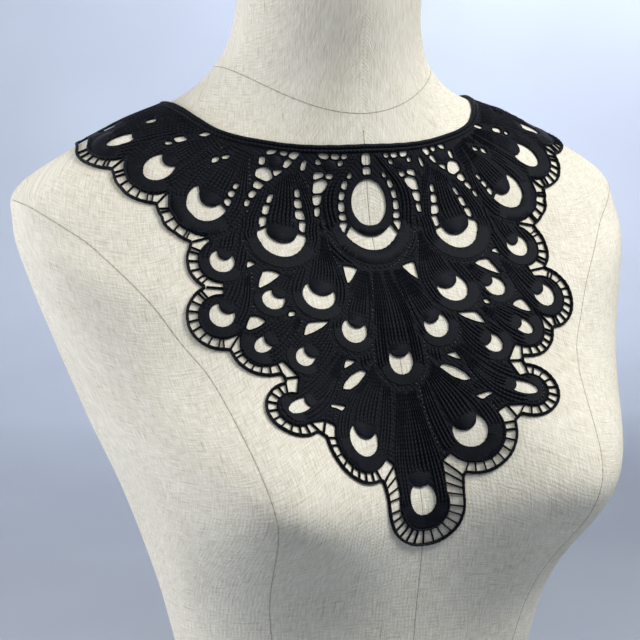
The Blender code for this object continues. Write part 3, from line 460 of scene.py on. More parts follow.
def points_at(where, run, points):
    return np.stack([np.interp(where, run, points[:, k]) for k in (0, 1)], 1)


def evenly(points, step):
    """Evenly spaced points of a line, ends kept."""
    points = np.array(points, float)
    run = length_along(points)
    parts = max(2, math.ceil(run[-1] / step))
    return points_at(np.linspace(0, run[-1], parts + 1), run, points)


def thinned(points, least):
    """The points without those that lie closer than this to the last one kept."""
    kept = [points[0]]
    for p in points[1:]:
        if math.dist(p, kept[-1]) > least:
            kept.append(p)
    return kept


def across_line(way):
    """Unit steps to the side of a line that runs this way."""
    way = unit(way)
    return way, np.stack([-way[:, 1], way[:, 0]], 1)


def flowing(points, step):
    """A smooth line through the points."""
    p = np.array(points, float)
    p = np.concatenate([[2 * p[0] - p[1]], p, [2 * p[-1] - p[-2]]])
    dense = []
    for k in range(1, len(p) - 2):
        f = np.linspace(0, 1, 12, endpoint=False)[:, None]
        dense.append(blend(f, p[k], (p[k + 1] - p[k - 1]) / 2, p[k + 1], (p[k + 2] - p[k]) / 2))
    dense.append(p[-2:-1])
    return evenly(np.concatenate(dense), step)


def inset(line, depth):
    """The neckline moved down into the lace."""
    side = across_line(np.gradient(line, axis=0))[1]
    moved = line + side * depth
    moved[0] = (0, line[0, 1] + depth)
    return moved


def field_outline(step):
    half = []
    scallops = scallop_arcs(FIELD, FIELD_NOTCH, 100, FIELD_START, FIELD_STOP)
    for _, centre, radius, start, stop, meet in scallops:
        half += arc(centre, radius, start, stop, step)
        if meet is not None:
            half.append(meet)
    half += FIELD_END
    half += [tuple(p) for p in inset(flowing(NECKLINE, step * 2), BAND_DEPTH)[::-1]]
    kept = thinned(half, 0.4)
    return kept + mirror(kept[1:-1])[::-1]


def plume_frame(row):
    """Root, eye and core of a plume, the way that it points, and the way to its side."""
    root, eye, core = [np.array(p, float) for p in (row[1:3], row[4:6], row[9:11])]
    way = eye - core
    if np.hypot(*way) < 1:
        way = np.array([0.0, 1.0])
    way = way / np.hypot(*way)
    return root, eye, core, way, np.array([-way[1], way[0]])


def oval_line(middle, turns, along, across):
    """Points of an oval: along and across are its half axes as vectors."""
    return middle + np.outer(np.cos(turns), along) + np.outer(np.sin(turns), across)


def eye_hole(row, step):
    """The eye of a plume where its petal does not cover it."""
    _, eye, core, way, side = plume_frame(row)
    turns = np.radians(np.arange(-180, 180))
    edge = oval_line(eye, turns, way * row.length, side * row.width)
    shown = edge[np.hypot(*(edge - core).T) > row.core]
    ring = oval_line(core, turns, way * row.core, side * row.core)
    off = ring - eye
    covered = ring[(off @ way / row.length) ** 2 + (off @ side / row.width) ** 2 < 1][::-1]
    return [tuple(p) for p in evenly(shown, step)] + [tuple(p) for p in evenly(covered, step)[1:-1]]


def crescent(row, step):
    u, v, half_u, half_v, start, stop, in_u, in_v, in_half_u, in_half_v, in_start, in_stop = row[1:]
    outer = [on_oval((u, v), half_u, half_v, a) for a in np.linspace(start, stop, 80)]
    inner = [on_oval((in_u, in_v), in_half_u, in_half_v, a) for a in np.linspace(in_stop, in_start, 80)]
    return [tuple(p) for p in evenly(outer, step)] + [tuple(p) for p in evenly(inner, step)]


def grown(loop, amount):
    """A closed line moved outwards by the amount."""
    a = np.array(loop, float)
    after = np.roll(a, -1, 0)
    side = across_line(after - np.roll(a, 1, 0))[1]
    turn = 1.0 if (a[:, 0] * after[:, 1] - a[:, 1] * after[:, 0]).sum() > 0 else -1.0
    return a - side * amount * turn


def rounded(loop):
    """A closed line with its corners pulled round by the thread."""
    points = []
    count = len(loop)
    for k in range(count):
        here = np.array(loop[k], float)
        before = np.array(loop[k - 1], float)
        after = np.array(loop[(k + 1) % count], float)
        cut_in = before + (here - before) * max(0.7, 1 - 1.2 / np.hypot(*(here - before)))
        cut_out = after + (here - after) * max(0.7, 1 - 1.2 / np.hypot(*(here - after)))
        for f in (0, 0.33, 0.67, 1):
            points.append(tuple((1 - f) ** 2 * cut_in + 2 * f * (1 - f) * here + f**2 * cut_out))
    return points


def with_mirrors(loops):
    """The closed lines, and a mirror of each that isn't on the centre line."""
    return loops + [mirror(loop) for loop in loops if np.mean([p[0] for p in loop]) > 1]


def small_openings():
    """The openings with a thin overcast edge, right side and left side."""
    loops = [[tuple(p) for p in grown(rounded(loop), 0.3)] for loop in NET_CELLS]
    loops += [rounded(loop) for loop in GAPS]
    return with_mirrors(loops)


def eye_openings(step):
    named = {row[0] for row in CRESCENTS}
    loops = [eye_hole(row, step) for row in PLUMES if row.name not in named]
    loops += [crescent(row, step) for row in CRESCENTS]
    u, v, half_u, half_v = CENTRE_HOLE
    return with_mirrors(loops) + [[on_oval((u, v), half_u, half_v, a) for a in range(0, 360, 8)]]


def covers(loop, points):
    """True for the points inside a closed line."""
    points = np.asarray(points, float)
    inside = np.zeros(len(points), bool)
    for (u1, v1), (u2, v2) in zip(loop, loop[1:] + loop[:1]):
        if v1 == v2:
            continue
        crossed = (points[:, 1] < v1) != (points[:, 1] < v2)
        inside ^= crossed & (points[:, 0] < u1 + (points[:, 1] - v1) * (u2 - u1) / (v2 - v1))
    return inside


def off_loop(loop, points):
    """Distance of the points from a closed line."""
    a = np.array(loop, float)
    way = np.roll(a, -1, 0) - a
    rel = points[:, None, :] - a[None]
    part = np.clip((rel * way).sum(-1) / np.maximum((way**2).sum(-1), 1e-9), 0, 1)
    return np.linalg.norm(rel - way * part[..., None], axis=-1).min(1)


NET = lay_net()
EYES = eye_openings(1.6)
SMALL = small_openings()
OUTLINE = field_outline(1.8)


def between_rings(first, rings, size, closed=False):
    """Faces between rings of this many points each; closed joins the last ring to the first."""
    faces = []
    for i in range(rings if closed else rings - 1):
        a = first + i * size
        b = first + (i + 1) % rings * size
        faces += [(a + k, b + k, b + (k + 1) % size, a + (k + 1) % size) for k in range(size)]
    return faces


# thread runs: closed puffed strips swept over the form
class Stitching:
    """Gathers thread runs and turns them into one piece."""

    def __init__(self, name):
        self.name = name
        self.places = []
        self.faces = []
        self.marks = []
        self.count = 0

    def run(self, path, half, rise, shoulder=0.72, flank=0.8, closed=False):
        """One strip along a flat path: half width and rise may change along it.  The shoulders of its
        rounded back are shoulder high and flank wide, as shares of the rise and of the half width."""
        path = np.asarray(path, float)
        n = len(path)
        if n < 2:
            return
        half = np.broadcast_to(half, n)
        rise = np.broadcast_to(rise, n)
        if closed:
            way = np.roll(path, -1, 0) - np.roll(path, 1, 0)
        else:
            way = np.gradient(path, axis=0)
        side = across_line(way)[1]
        across = np.array([-1, -flank, 0, flank, 1])
        ring = len(across)
        flat = path[:, None, :] + side[:, None, :] * (half[:, None] * across)[..., None]
        height = LIE + rise[:, None] * np.array([0.0, shoulder, 1.0, shoulder, 0.0])
        height[:, 0] = LIE - FOOT
        height[:, -1] = LIE - FOOT
        self.places.append(lay(flat.reshape(-1, 2), height.reshape(-1)))
        mark = np.stack([np.repeat(length_along(path), ring), (half[:, None] * across).reshape(-1)], 1) / 1000
        self.marks.append(mark)
        first = self.count
        self.count += n * ring
        self.faces += between_rings(first, n, ring, closed)
        if not closed:
            self.faces.append(tuple(range(first, first + ring)))
            self.faces.append(tuple(range(self.count - ring, self.count))[::-1])

    def piece(self, material):
        places = np.concatenate(self.places)
        return make_piece(self.name, places, self.faces, np.concatenate(self.marks), material)


def stand(name, data):
    """A new object of the scene."""
    thing = bpy.data.objects.new(name, data)
    bpy.context.scene.collection.objects.link(thing)
    return thing


def make_piece(name, places, faces, marks, material):
    mesh = bpy.data.meshes.new(name)
    mesh.from_pydata([tuple(p) for p in places], [], faces)
    layer = mesh.uv_layers.new(name="thread")
    corners = np.zeros(len(mesh.loops), np.int32)
    mesh.loops.foreach_get("vertex_index", corners)
    layer.data.foreach_set("uv", np.asarray(marks, np.float32)[corners].reshape(-1))
    work = bmesh.new()
    work.from_mesh(mesh)
    bmesh.ops.recalc_face_normals(work, faces=work.faces)
    work.to_mesh(mesh)
    work.free()
    mesh.shade_smooth()
    mesh.set_sharp_from_angle(angle=math.radians(60))
    mesh.materials.append(material)
    return stand(name, mesh)


# plumes
def teardrop(row, sign, grow, on_core=False, reach=90):
    """One side of a plume, from the root down and round the eye; grow is the distance from the eye's edge."""
    root, eye, core, way, side = plume_frame(row)
    side = side * sign
    if on_core:
        eye = core
        start = root + side * row.spread * 0.35 * grow / row.core
        across = grow
        along = row.core
    else:
        share = grow / (row.rim - row.width)
        start = root + side * row.spread * (0.4 + 0.6 * share)
        across = row.width + grow
        along = row.length + share * (FAR_RIM.get(row.name, row.rim) - row.length)
    flank = eye + side * across
    leg_way = flank - start
    far = np.hypot(*leg_way)
    first = start + leg_way * 0.30 + way * far * 0.08
    last = flank - way * far * 0.42
    f = np.linspace(0, 1, 30)[:, None]
    leg = (1 - f) ** 3 * start + 3 * f * (1 - f) ** 2 * first + 3 * f**2 * (1 - f) * last + f**3 * flank
    turn = np.radians(np.linspace(90, 90 - reach, 20))[1:, None]
    return np.concatenate([leg, eye + side * across * np.sin(turn) + way * along * np.cos(turn)])


def plume_edge(row, grow=0.0):
    """The closed outer line of a whole plume."""
    full = row.rim - row.width + grow
    one = teardrop(row, 1, full)
    other = teardrop(row, -1, full)
    return [tuple(p) for p in np.concatenate([one, other[::-1]])]


class Overlap:
    """Keeps account of the plumes that already lie on top."""

    def __init__(self):
        self.edges = []

    def add(self, loop, both=True):
        self.edges.append(loop)
        if both:
            self.edges.append(mirror(loop))

    def free(self, points, apart=0.7):
        keep = np.ones(len(points), bool)
        for loop in self.edges:
            a = np.array(loop)
            near = (points > a.min(0) - 2).all(1) & (points < a.max(0) + 2).all(1)
            if near.any():
                at = points[near]
                keep[near] &= ~covers(loop, at) & (off_loop(loop, at) > apart)
        return keep


def rims_free(points, own):
    keep = np.ones(len(points), bool)
    for row in PLUMES:
        if row.name in (own, "centre"):
            continue
        for sign in (1, -1):
            keep &= np.hypot(points[:, 0] - sign * row.eye_u, points[:, 1] - row.eye_v) > row.rim - 0.3
    return keep


HOLES = Overlap()
for opening in EYES + SMALL:
    HOLES.add(opening, False)


def on_field(points, margin=0.9):
    """True where the field is whole: inside its outline and off its openings."""
    return covers(OUTLINE, points) & (off_loop(OUTLINE, points) > margin) & HOLES.free(points, margin)


def stretches(path, keep):
    parts = []
    begun = None
    for k, good in enumerate(list(keep) + [False]):
        if good and begun is None:
            begun = k
        if not good and begun is not None:
            if k - begun >= 3:
                parts.append(path[begun:k])
            begun = None
    return parts


def taper(count, least=0.4, ends=2):
    """Cords sink into the ground at their ends."""
    grow = np.ones(count)
    for k in range(min(ends, count // 2)):
        grow[k] = least + (1 - least) * k / ends
        grow[-1 - k] = grow[k]
    return grow


def sew_rib(ribs, row, over, sign, grow, gap, on_core=False, reach=90):
    """One corded rib, as wide as the room between its neighbours."""
    path = teardrop(row, sign, grow, on_core, reach)
    near = teardrop(row, sign, max(grow - gap / 2, 0), on_core, reach)
    far = teardrop(row, sign, max(grow - gap / 2, 0) + gap, on_core, reach)
    room = np.linalg.norm(far - near, axis=1)
    run = length_along(path)
    where = np.linspace(0, run[-1], max(6, int(run[-1] / 1.5)))
    line = points_at(where, run, path)
    half = np.clip(np.interp(where, run, room) * 0.45, *RIB_HALF)
    keep = on_field(line) & over.free(line) & rims_free(line, row.name)
    if row.root_u > 1:
        keep &= line[:, 0] > 0.7
    wide_line = np.column_stack([line, half])
    for part in stretches(wide_line, keep):
        sink = taper(len(part))
        rise = (0.5 + 0.9 * part[:, 2]) * sink
        for strip in both_sides(part[:, :2], row.root_u > 1):
            ribs.run(strip, part[:, 2] * sink**0.5, rise)


def sew_ribs():
    """The corded ribs of every plume, the uppermost plume first; then the ribs between the plumes."""
    ribs = Stitching("plume_ribs")
    over = Overlap()
    for row in ON_TOP:
        bundles = [(row.rim - row.width, 2, False, 25)]
        if row.name != "centre":
            bundles.append((row.core, 1, True, 5))
        for wide, fewest, on_core, reach in bundles:
            count = max(fewest, round(wide / RIB_PITCH))
            gap = wide / count
            for k in range(count):
                for sign in (1, -1):
                    sew_rib(ribs, row, over, sign, (k + 0.5) * gap, gap, on_core, reach)
        over.add(plume_edge(row), row.root_u > 1)
    for row in ON_TOP:
        for k in range(UNDER_RIBS):
            for sign in (1, -1):
                place = row.rim - row.width + UNDER_START + RIB_PITCH * k
                sew_rib(ribs, row, over, sign, place, RIB_PITCH, reach=60)
        over.add(plume_edge(row, UNDER_REACH), row.root_u > 1)
    return ribs


def pin_holes():
    """Small pin holes that the needle leaves between the plumes."""
    over = Overlap()
    holes = []
    for row in ON_TOP:
        for sign in (1, -1):
            path = evenly(teardrop(row, sign, row.rim - row.width + PIN_OUT), PIN_PITCH)[3:]
            way, side = across_line(np.gradient(path, axis=0))
            keep = on_field(path, 2.0) & over.free(path, 0.9) & rims_free(path, row.name)
            keep &= (path[:, 0] > 1.5) | (row.root_u < 1)
            for k in np.nonzero(keep)[0]:
                corners = ((-1, -1), (1, -1), (1, 1), (-1, 1))
                loop = [tuple(path[k] + way[k] * a * PIN_LONG + side[k] * b * PIN_WIDE) for a, b in corners]
                holes.append(loop)
                if row.root_u > 1:
                    holes.append(mirror(loop))
        over.add(plume_edge(row, 1.5), row.root_u > 1)
    kept = []
    middles = []
    for loop in holes:
        middle = np.mean(loop, 0)
        if all(math.dist(middle, m) > PIN_APART for m in middles):
            kept.append(loop)
            middles.append(middle)
    return kept


def sew_rims():
    """Broad padded satin round the far side of each eye."""
    rims = Stitching("satin_rims")
    for row in PLUMES:
        _, eye, _, way, side = plume_frame(row)
        reach = 84 if row.width < 0.8 * row.length or row.name == "centre" else 104
        turns = np.radians(np.linspace(-reach, reach, max(24, int(row.rim * 4))))
        slim = 0.5 + 0.5 * np.cos(np.clip(np.abs(turns) / math.radians(reach), 0, 1) ** 3 * math.pi)
        slim = 0.3 + 0.7 * slim
        inner = oval_line(eye, turns, way * row.length, side * row.width)
        outer = oval_line(eye, turns, way * FAR_RIM.get(row.name, row.rim), side * row.rim)
        outer = inner + (outer - inner) * slim[:, None]
        middle = (inner + outer) / 2
        half = np.hypot(*(outer - inner).T) / 2 + 0.15
        rise = RIM_RISE * (0.45 + 0.55 * slim)
        place = np.arange(len(half))
        ragged = 0.16 * np.sin(place * 2.1 + row.eye_u) + 0.12 * np.sin(place * 5.3)
        for line in both_sides(middle, row.eye_u > 1):
            rims.run(line, half + ragged, rise, shoulder=0.9, flank=0.88)
    u, v, half_u, half_v = CENTRE_HOLE
    turns = np.radians(np.arange(0, 360, 6))
    low = 0.5 + 0.5 * np.cos(turns)
    wide = 1.4 + 1.6 * low**2
    ring = np.stack([u + (half_u + wide) * np.sin(turns), v + (half_v + wide) * np.cos(turns)], 1)
    rims.run(ring, wide, RIM_RISE * (0.6 + 0.4 * low), shoulder=0.85, flank=0.85, closed=True)
    return rims


def sew_petals():
    """Round satin caps on the cores of the plumes, and the rosettes in the net."""
    caps = Stitching("petal_caps")
    for row in PLUMES:
        if row.name == "centre":
            continue
        _, _, core, way, _ = plume_frame(row)
        where = np.sin(np.linspace(-math.pi / 4, math.pi / 2, 18))
        middle = core + np.outer(where * row.core, way)
        half = np.maximum(row.core * np.sqrt(np.clip(1 - where**2, 0, 1)), 0.35)
        rise = PETAL_RISE * (1.04 - where**6)
        ragged = 0.1 * np.sin(np.arange(len(half)) * 2.4 + row.core_v)
        for line in both_sides(middle, row.core_u > 1):
            caps.run(line, half + ragged, rise, shoulder=0.94, flank=0.9)
    for u, v, radius in ROSETTES:
        where = np.sin(np.linspace(-math.pi / 2, math.pi / 2, 14))
        middle = np.array([u, v]) + np.outer(where * radius, (0, 1))
        half = np.maximum(radius * np.sqrt(np.clip(1 - where**2, 0, 1)), 0.25)
        for line in both_sides(middle):
            caps.run(line, half, PETAL_RISE * (1.04 - where**4), shoulder=0.85, flank=0.85)
    return caps


def sew_openings():
    """Overcast thread round the small openings and along the edge of the field."""
    edges = Stitching("overcast_edges")
    for loop in SMALL:
        path = evenly(loop + loop[:1], 1.0)[:-1]
        edges.run(grown(path, HEM_OUT), HEM_HALF, HEM_RISE, closed=True)
    edge = evenly(OUTLINE + OUTLINE[:1], 1.6)[:-1]
    edges.run(grown(edge, -0.6), 0.75, 1.3, closed=True)
    return edges


def sew_bar(bars, foot, head, half=BAR_HALF, rise=BAR_RISE):
    """A bar on the right side and its mirror on the left."""
    for line in both_sides(evenly([foot, head], 1.0)):
        bars.run(line, half, rise)


def sew_edging():
    """The twisted outer cord and the ladder bars that tie it to the field."""
    cord = Stitching("edge_cord")
    bars = Stitching("ladder_bars")
    half = []
    # radius and notch of the field behind each scallop
    lower = {row[0]: (row[2], row[5]) for row in scallop_arcs(FIELD, FIELD_NOTCH, 96, {}, {})}
    scallops = scallop_arcs(CORD, CORD_NOTCH, 96, {}, CORD_STOP)
    for name, centre, radius, start, stop, meet in scallops:
        half += arc(centre, radius, start, stop, 1.6)
        low, low_meet = lower[name]
        count = max(2, round(math.radians(stop - start) * (radius - CORD_HALF) / BAR_PITCH))
        for k in range(count):
            if k == 0 and name != "tip":
                continue
            turn = start + (stop - start) * k / count
            foot = on_oval(centre, low - BAR_FOOT, low - BAR_FOOT, turn)
            head = on_oval(centre, radius, radius, turn + 1.5 * math.sin(7.0 * k + centre[0]))
            path = evenly([foot, head], 1.0)
            wide = BAR_HALF * (1 + 0.5 * np.linspace(-1, 1, len(path)) ** 4)
            for line in both_sides(path, turn > 1 or name != "tip"):
                bars.run(line, wide, BAR_RISE)
        if name in CORD_STOP:
            head_end = np.array(on_oval(centre, radius, radius, stop))
            foot_end = np.array(on_oval(centre, low - BAR_FOOT, low - BAR_FOOT, FIELD_STOP[name]))
            spaces = round(math.dist(head_end, meet) / NOTCH_BAR_PITCH)
            for k in range(spaces):
                head = head_end + (np.array(meet) - head_end) * k / spaces
                foot = foot_end + (np.array(low_meet) - foot_end) * k / spaces - [BAR_FOOT, 0]
                sew_bar(bars, foot, head)
        if meet is not None:
            half.append(meet)
            way = np.subtract(low_meet, meet)
            sew_bar(bars, meet, low_meet + way / np.hypot(*way) * 0.8, BAR_HALF * 1.25, 1.3)
    kept = thinned(half + CORD_END, 0.5)
    heads = [np.array(p, float) for p in CORD_END[1:]]
    line = np.array(kept)
    along = length_along(line)
    for name, _, _, _, _, meet in scallops[:-1]:
        at = along[np.argmin(np.hypot(*(line - meet).T))]
        asides = (-NOTCH_BAR_ASIDE, NOTCH_BAR_ASIDE) if name != "tip" else (NOTCH_BAR_ASIDE,)
        heads += list(points_at(at + np.array(asides), along, line))
    field = np.array(OUTLINE)
    for head in heads:
        foot = field[np.argmin(np.hypot(*(field - head).T))]
        sew_bar(bars, foot, head)
    whole = evenly(mirror(kept[1:])[::-1] + kept, 1.2)
    for _ in range(3):
        whole[1:-1] = (whole[:-2] + 2 * whole[1:-1] + whole[2:]) / 4
    twist = 1 + 0.09 * np.sin(np.arange(len(whole)) * 2.2)
    cord.run(whole, CORD_HALF * twist, CORD_RISE * twist)
    return cord, bars


def sew_neck():
    neck = Stitching("neck_cord")
    line = flowing(NECKLINE, 1.8)
    for depth, half, rise in NECK_CORDS:
        right = inset(line, depth)
        whole = np.concatenate([(right[1:] * [-1, 1])[::-1], right])
        neck.run(evenly(whole, 1.8), half, rise)
    return neck


def sew_ground(material):
    """Thin close ground under the cords, with every opening cut through."""
    pins = pin_holes()
    loops = [OUTLINE] + EYES + SMALL + pins
    points = []
    edges = []
    for loop in loops:
        first = len(points)
        points += loop
        edges += [(first + k, first + (k + 1) % len(loop)) for k in range(len(loop))]
    rows = enumerate(np.arange(-66, 226, 3.0))
    grid = np.array([(u + (r % 2) * 1.75, v) for r, v in rows for u in np.arange(-163, 163, 3.5)])
    grid = grid[covers(OUTLINE, grid)]
    keep = (off_loop(OUTLINE, grid) > 1.0) & HOLES.free(grid, 1.0)
    middles = np.array([np.mean(loop, 0) for loop in pins])
    keep &= np.array([np.hypot(*(middles - p).T).min() > 1.4 for p in grid])
    points += [tuple(p) for p in grid[keep]]
    verts, _, faces, _, _, _ = delaunay_2d_cdt([Vector(p) for p in points], edges, [], 0, 1e-4)
    flat = np.array([tuple(p) for p in verts])
    faces = np.array([tuple(f) for f in faces])
    centre = flat[faces].mean(1)
    inside = covers(OUTLINE, centre) & HOLES.free(centre, -1)
    for loop in pins:
        near = np.hypot(*(centre - np.mean(loop, 0)).T) < 1.2
        inside[near] &= ~covers(loop, centre[near])
    faces = faces[inside]
    used = np.unique(faces)
    where = np.full(len(flat), -1)
    where[used] = np.arange(len(used))
    flat = flat[used]
    faces = where[faces]
    count = len(flat)
    places = np.concatenate([lay(flat, LIE), lay(flat, LIE + GROUND)])
    faces = faces.tolist()
    halves = dict.fromkeys(edge for a, b, c in faces for edge in ((a, b), (b, c), (c, a)))
    solid = faces + [[c + count, b + count, a + count] for a, b, c in faces]
    solid += [(b, a, a + count, b + count) for a, b in halves if (b, a) not in halves]
    return make_piece("lace_ground", places, solid, np.tile(flat / 1000, (2, 1)), material)


def cover_form(material):
    """The linen-covered form, fine enough to take the lace."""
    steps = [4, 10, 12, 14, 16, 20, 18, 12, 10, 14, 12, 10, 10, 10, 8]
    levels = np.unique(np.concatenate([np.linspace(k, k + 1, n + 1) for k, n in enumerate(steps)]))
    turns = np.linspace(-math.pi, math.pi, 221)
    grid = form_point(levels[:, None], turns[None, :]) / 100
    rows = len(levels)
    cols = len(turns)
    lengths = np.zeros((rows, cols))
    lengths[1:] = np.cumsum(np.linalg.norm(np.diff(grid, axis=0), axis=2), axis=0)
    girth = np.zeros((rows, cols))
    girth[:, 1:] = np.cumsum(np.linalg.norm(np.diff(grid, axis=1), axis=2), axis=1)
    girth -= girth[:, cols // 2][:, None]
    mark = np.stack([girth, lengths], 2)[:, :-1].reshape(-1, 2)
    ring = cols - 1
    places = grid[:, :-1].reshape(-1, 3)
    faces = between_rings(0, rows, ring)
    faces.append(tuple(range(ring)))
    faces.append(tuple(range(len(places) - ring, len(places)))[::-1])
    return make_piece("form_cover", places, faces, mark, material)


def sew_seams(material):
    """Seams of the linen cover: a narrow felled ridge along each."""
    places = []
    faces = []
    marks = []
    neck_seam = [(12.0, a) for a in range(-180, 181, 15)]
    ridge = [(-0.04, -0.01), (-0.02, 0.012), (0.02, 0.012), (0.04, -0.01)]
    for points, turn in ((SIDE_SEAM, 1), (SIDE_SEAM, -1), (CENTRE_SEAM, 1), (neck_seam, 1)):
        line = flowing([(s * 4, t / 4) for s, t in points], 0.12)
        s = line[:, 0] / 4
        t = np.radians(line[:, 1] * 4) * turn
        middle = form_point(s, t)
        out = form_normal(s, t)
        side = unit(np.cross(np.gradient(middle, axis=0), out))
        run = length_along(middle) / 100
        faces += between_rings(len(places), len(middle), len(ridge))
        for k, place in enumerate(middle):
            places += [(place + side[k] * a + out[k] * b) / 100 for a, b in ridge]
            marks += [(run[k], a / 100) for a, b in ridge]
    return make_piece("form_seams", places, faces, marks, material)


# finishes
def linear(code):
    """sRGB hex to the linear colour that the shaders take."""
    out = []
    for k in (0, 2, 4):
        c = int(code[k:k + 2], 16) / 255
        out.append(c / 12.92 if c <= 0.04045 else ((c + 0.055) / 1.055) ** 2.4)
    return (*out, 1.0)


def plug(taker, links):
    """Sets the sockets of a node: a node or an output is a link, anything else is a value."""
    for name, value in links.items():
        socket = taker.inputs[name]
        if isinstance(value, bpy.types.Node):
            value = value.outputs.get("Fac") or value.outputs[0]
        if isinstance(value, bpy.types.NodeSocket):
            taker.id_data.links.new(value, socket)
        else:
            socket.default_value = value


def put(tree, kind, settings=None, links=None):
    """Adds one node with its settings and links."""
    added = tree.nodes.new("ShaderNode" + kind)
    for name, value in (settings or {}).items():
        setattr(added, name, value)
    plug(added, links or {})
    return added


def math_node(tree, operation, *values):
    return put(tree, "Math", {"operation": operation}, dict(enumerate(values)))


def noise(tree, marks, scale, detail):
    return put(tree, "TexNoise", {}, {"Vector": marks, "Scale": scale, "Detail": detail})


def ramp(tree, value, stops):
    """Colour stops, each with its place and its sRGB code."""
    added = put(tree, "ValToRGB", {}, {"Fac": value})
    band = added.color_ramp
    while len(band.elements) < len(stops):
        band.elements.new(0.5)
    for element, (place, code) in zip(band.elements, stops):
        element.position = place
        element.color = linear(code)
    return added


def relief(tree, height, strength):
    return put(tree, "Bump", {}, {"Strength": strength, "Distance": 0.0004, "Height": height})


def finish_of(name):
    material = bpy.data.materials.new(name)
    material.use_nodes = True
    tree = material.node_tree
    return material, tree, tree.nodes["Principled BSDF"]


def thread_marks(tree):
    """Place on a thread or cloth, in metres along it and across it."""
    return put(tree, "UVMap", {"uv_map": "thread"})


def wave_scale(period):
    """Scale of a wave texture on marks in metres, for a period in millimetres."""
    return 1000 / period / 20 * math.pi


def embroidery_thread(name, period, depth, shine, twist=0.0, wander=1.5):
    """Black trilobal polyester embroidery thread: nearly black with a cool cast, a soft sheen along each
    thread.  The real thread is 0.35 mm thick; it is drawn two to three times as coarse, so that it shows."""
    material, tree, skin = finish_of(name)
    marks = thread_marks(tree)
    turned = put(tree, "Mapping", {}, {"Vector": marks, "Rotation": (0, 0, twist)})
    wave = put(tree, "TexWave", {}, {"Vector": turned, "Scale": wave_scale(period), "Distortion": wander,
                                     "Detail": 1.0, "Detail Scale": 2.0})
    patch = noise(tree, marks, 160.0, 3.0)
    tone = math_node(tree, "MULTIPLY_ADD", wave, 0.45, patch)
    worn = put(tree, "MapRange", {}, {"Value": patch, "To Min": shine - 0.06, "To Max": shine + 0.12})
    plug(skin, {
        "Base Color": ramp(tree, tone, [(0.35, "020306"), (0.75, "070910"), (1.0, "11151f")]),
        "Normal": relief(tree, wave, depth),
        "Roughness": worn,
        "Sheen Weight": 0.04,
        "Sheen Roughness": 0.4,
        "Specular IOR Level": 0.1,
    })
    return material


def woven_linen():
    """Unbleached linen and cotton, plain weave with slubs: matt, cream, with darker slub threads both ways.
    The real threads lie 0.5 mm apart; the weave is drawn at 1.1 mm, so that it shows."""
    material, tree, skin = finish_of("slubby_linen")
    marks = thread_marks(tree)
    weft, warp = [put(tree, "TexWave", {"bands_direction": way},
                      {"Vector": marks, "Scale": wave_scale(1.1), "Distortion": 5.0, "Detail": 2.0})
                  for way in ("Y", "X")]
    weave = math_node(tree, "MAXIMUM", weft, warp)
    slubs = []
    for size in ((120.0, 1500.0, 1.0), (1500.0, 120.0, 1.0), (50.0, 800.0, 1.0), (800.0, 50.0, 1.0)):
        drawn = put(tree, "Mapping", {}, {"Vector": marks, "Scale": size})
        slubs.append(noise(tree, drawn, 1.0, 3.0))
        plug(slubs[-1], {"Roughness": 0.65})
    fine = math_node(tree, "ADD", slubs[0], slubs[1])
    thick = math_node(tree, "MINIMUM", slubs[2], slubs[3])
    knot = put(tree, "MapRange", {}, {"Value": thick, "From Min": 0.28, "From Max": 0.42})
    crossed = math_node(tree, "MULTIPLY_ADD", knot, 0.3, fine)
    tone = math_node(tree, "MULTIPLY_ADD", noise(tree, marks, 16.0, 4.0), 0.3, crossed)
    scaled = put(tree, "MapRange", {}, {"Value": tone, "From Min": 0.9, "From Max": 2.0})
    height = math_node(tree, "MULTIPLY_ADD", crossed, 0.5, weave)
    stops = [(0.0, "90866f"), (0.22, "bbb4a1"), (0.56, "d7d3c5"), (0.88, "ebe9e0")]
    plug(skin, {
        "Base Color": ramp(tree, scaled, stops),
        "Normal": relief(tree, height, 0.3),
        "Roughness": 0.92,
        "Specular IOR Level": 0.2,
    })
    return material


def seam_linen_painted_shade():
    """The same linen folded and stitched down in a seam, coloured a little darker: painted shade along the
    seam.
    """
    material, tree, skin = finish_of("seam_linen_painted_shade")
    marks = thread_marks(tree)
    grain = noise(tree, marks, 400.0, 2.0)
    # the darker ramp colours are painted shade along the seam line
    plug(skin, {"Base Color": ramp(tree, grain, [(0.35, "8d8778"), (0.65, "bab4a3")]), "Roughness": 0.95})
    return material


# the pieces
linen = woven_linen()
satin = embroidery_thread("satin_stitch_thread", period=0.6, depth=0.18, shine=0.62, wander=5.0)
corded = embroidery_thread("corded_thread", period=1.0, depth=0.5, shine=0.55, twist=0.5)
overcast = embroidery_thread("overcast_thread", period=1.0, depth=0.4, shine=0.55)
shaded_seam_linen = seam_linen_painted_shade()
ground_thread = embroidery_thread("ground_thread", period=1.2, depth=0.4, shine=0.7, twist=0.7)

form = cover_form(linen)
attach(form, "root")
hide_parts("dress_form")

seams = sew_seams(shaded_seam_linen)
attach(seams, "root")

ground = sew_ground(ground_thread)
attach(ground, "root")
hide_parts("lace_field")

edge_cord, ladder_bars = sew_edging()
work = [
    (sew_ribs(), corded, "field_thread", None),
    (sew_rims(), satin, "field_thread", None),
    (sew_petals(), satin, "field_thread", None),
    (sew_openings(), overcast, "field_thread", None),
    (edge_cord, corded, "edge_thread", "scallop_edge"),
    (ladder_bars, overcast, "edge_thread", "scallop_edge"),
    (sew_neck(), corded, "band_thread", "neck_band"),
]
for stitching, thread, slot, node in work:
    trim = stitching.piece(thread)
    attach(trim, "root")
    if node:
        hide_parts(node)


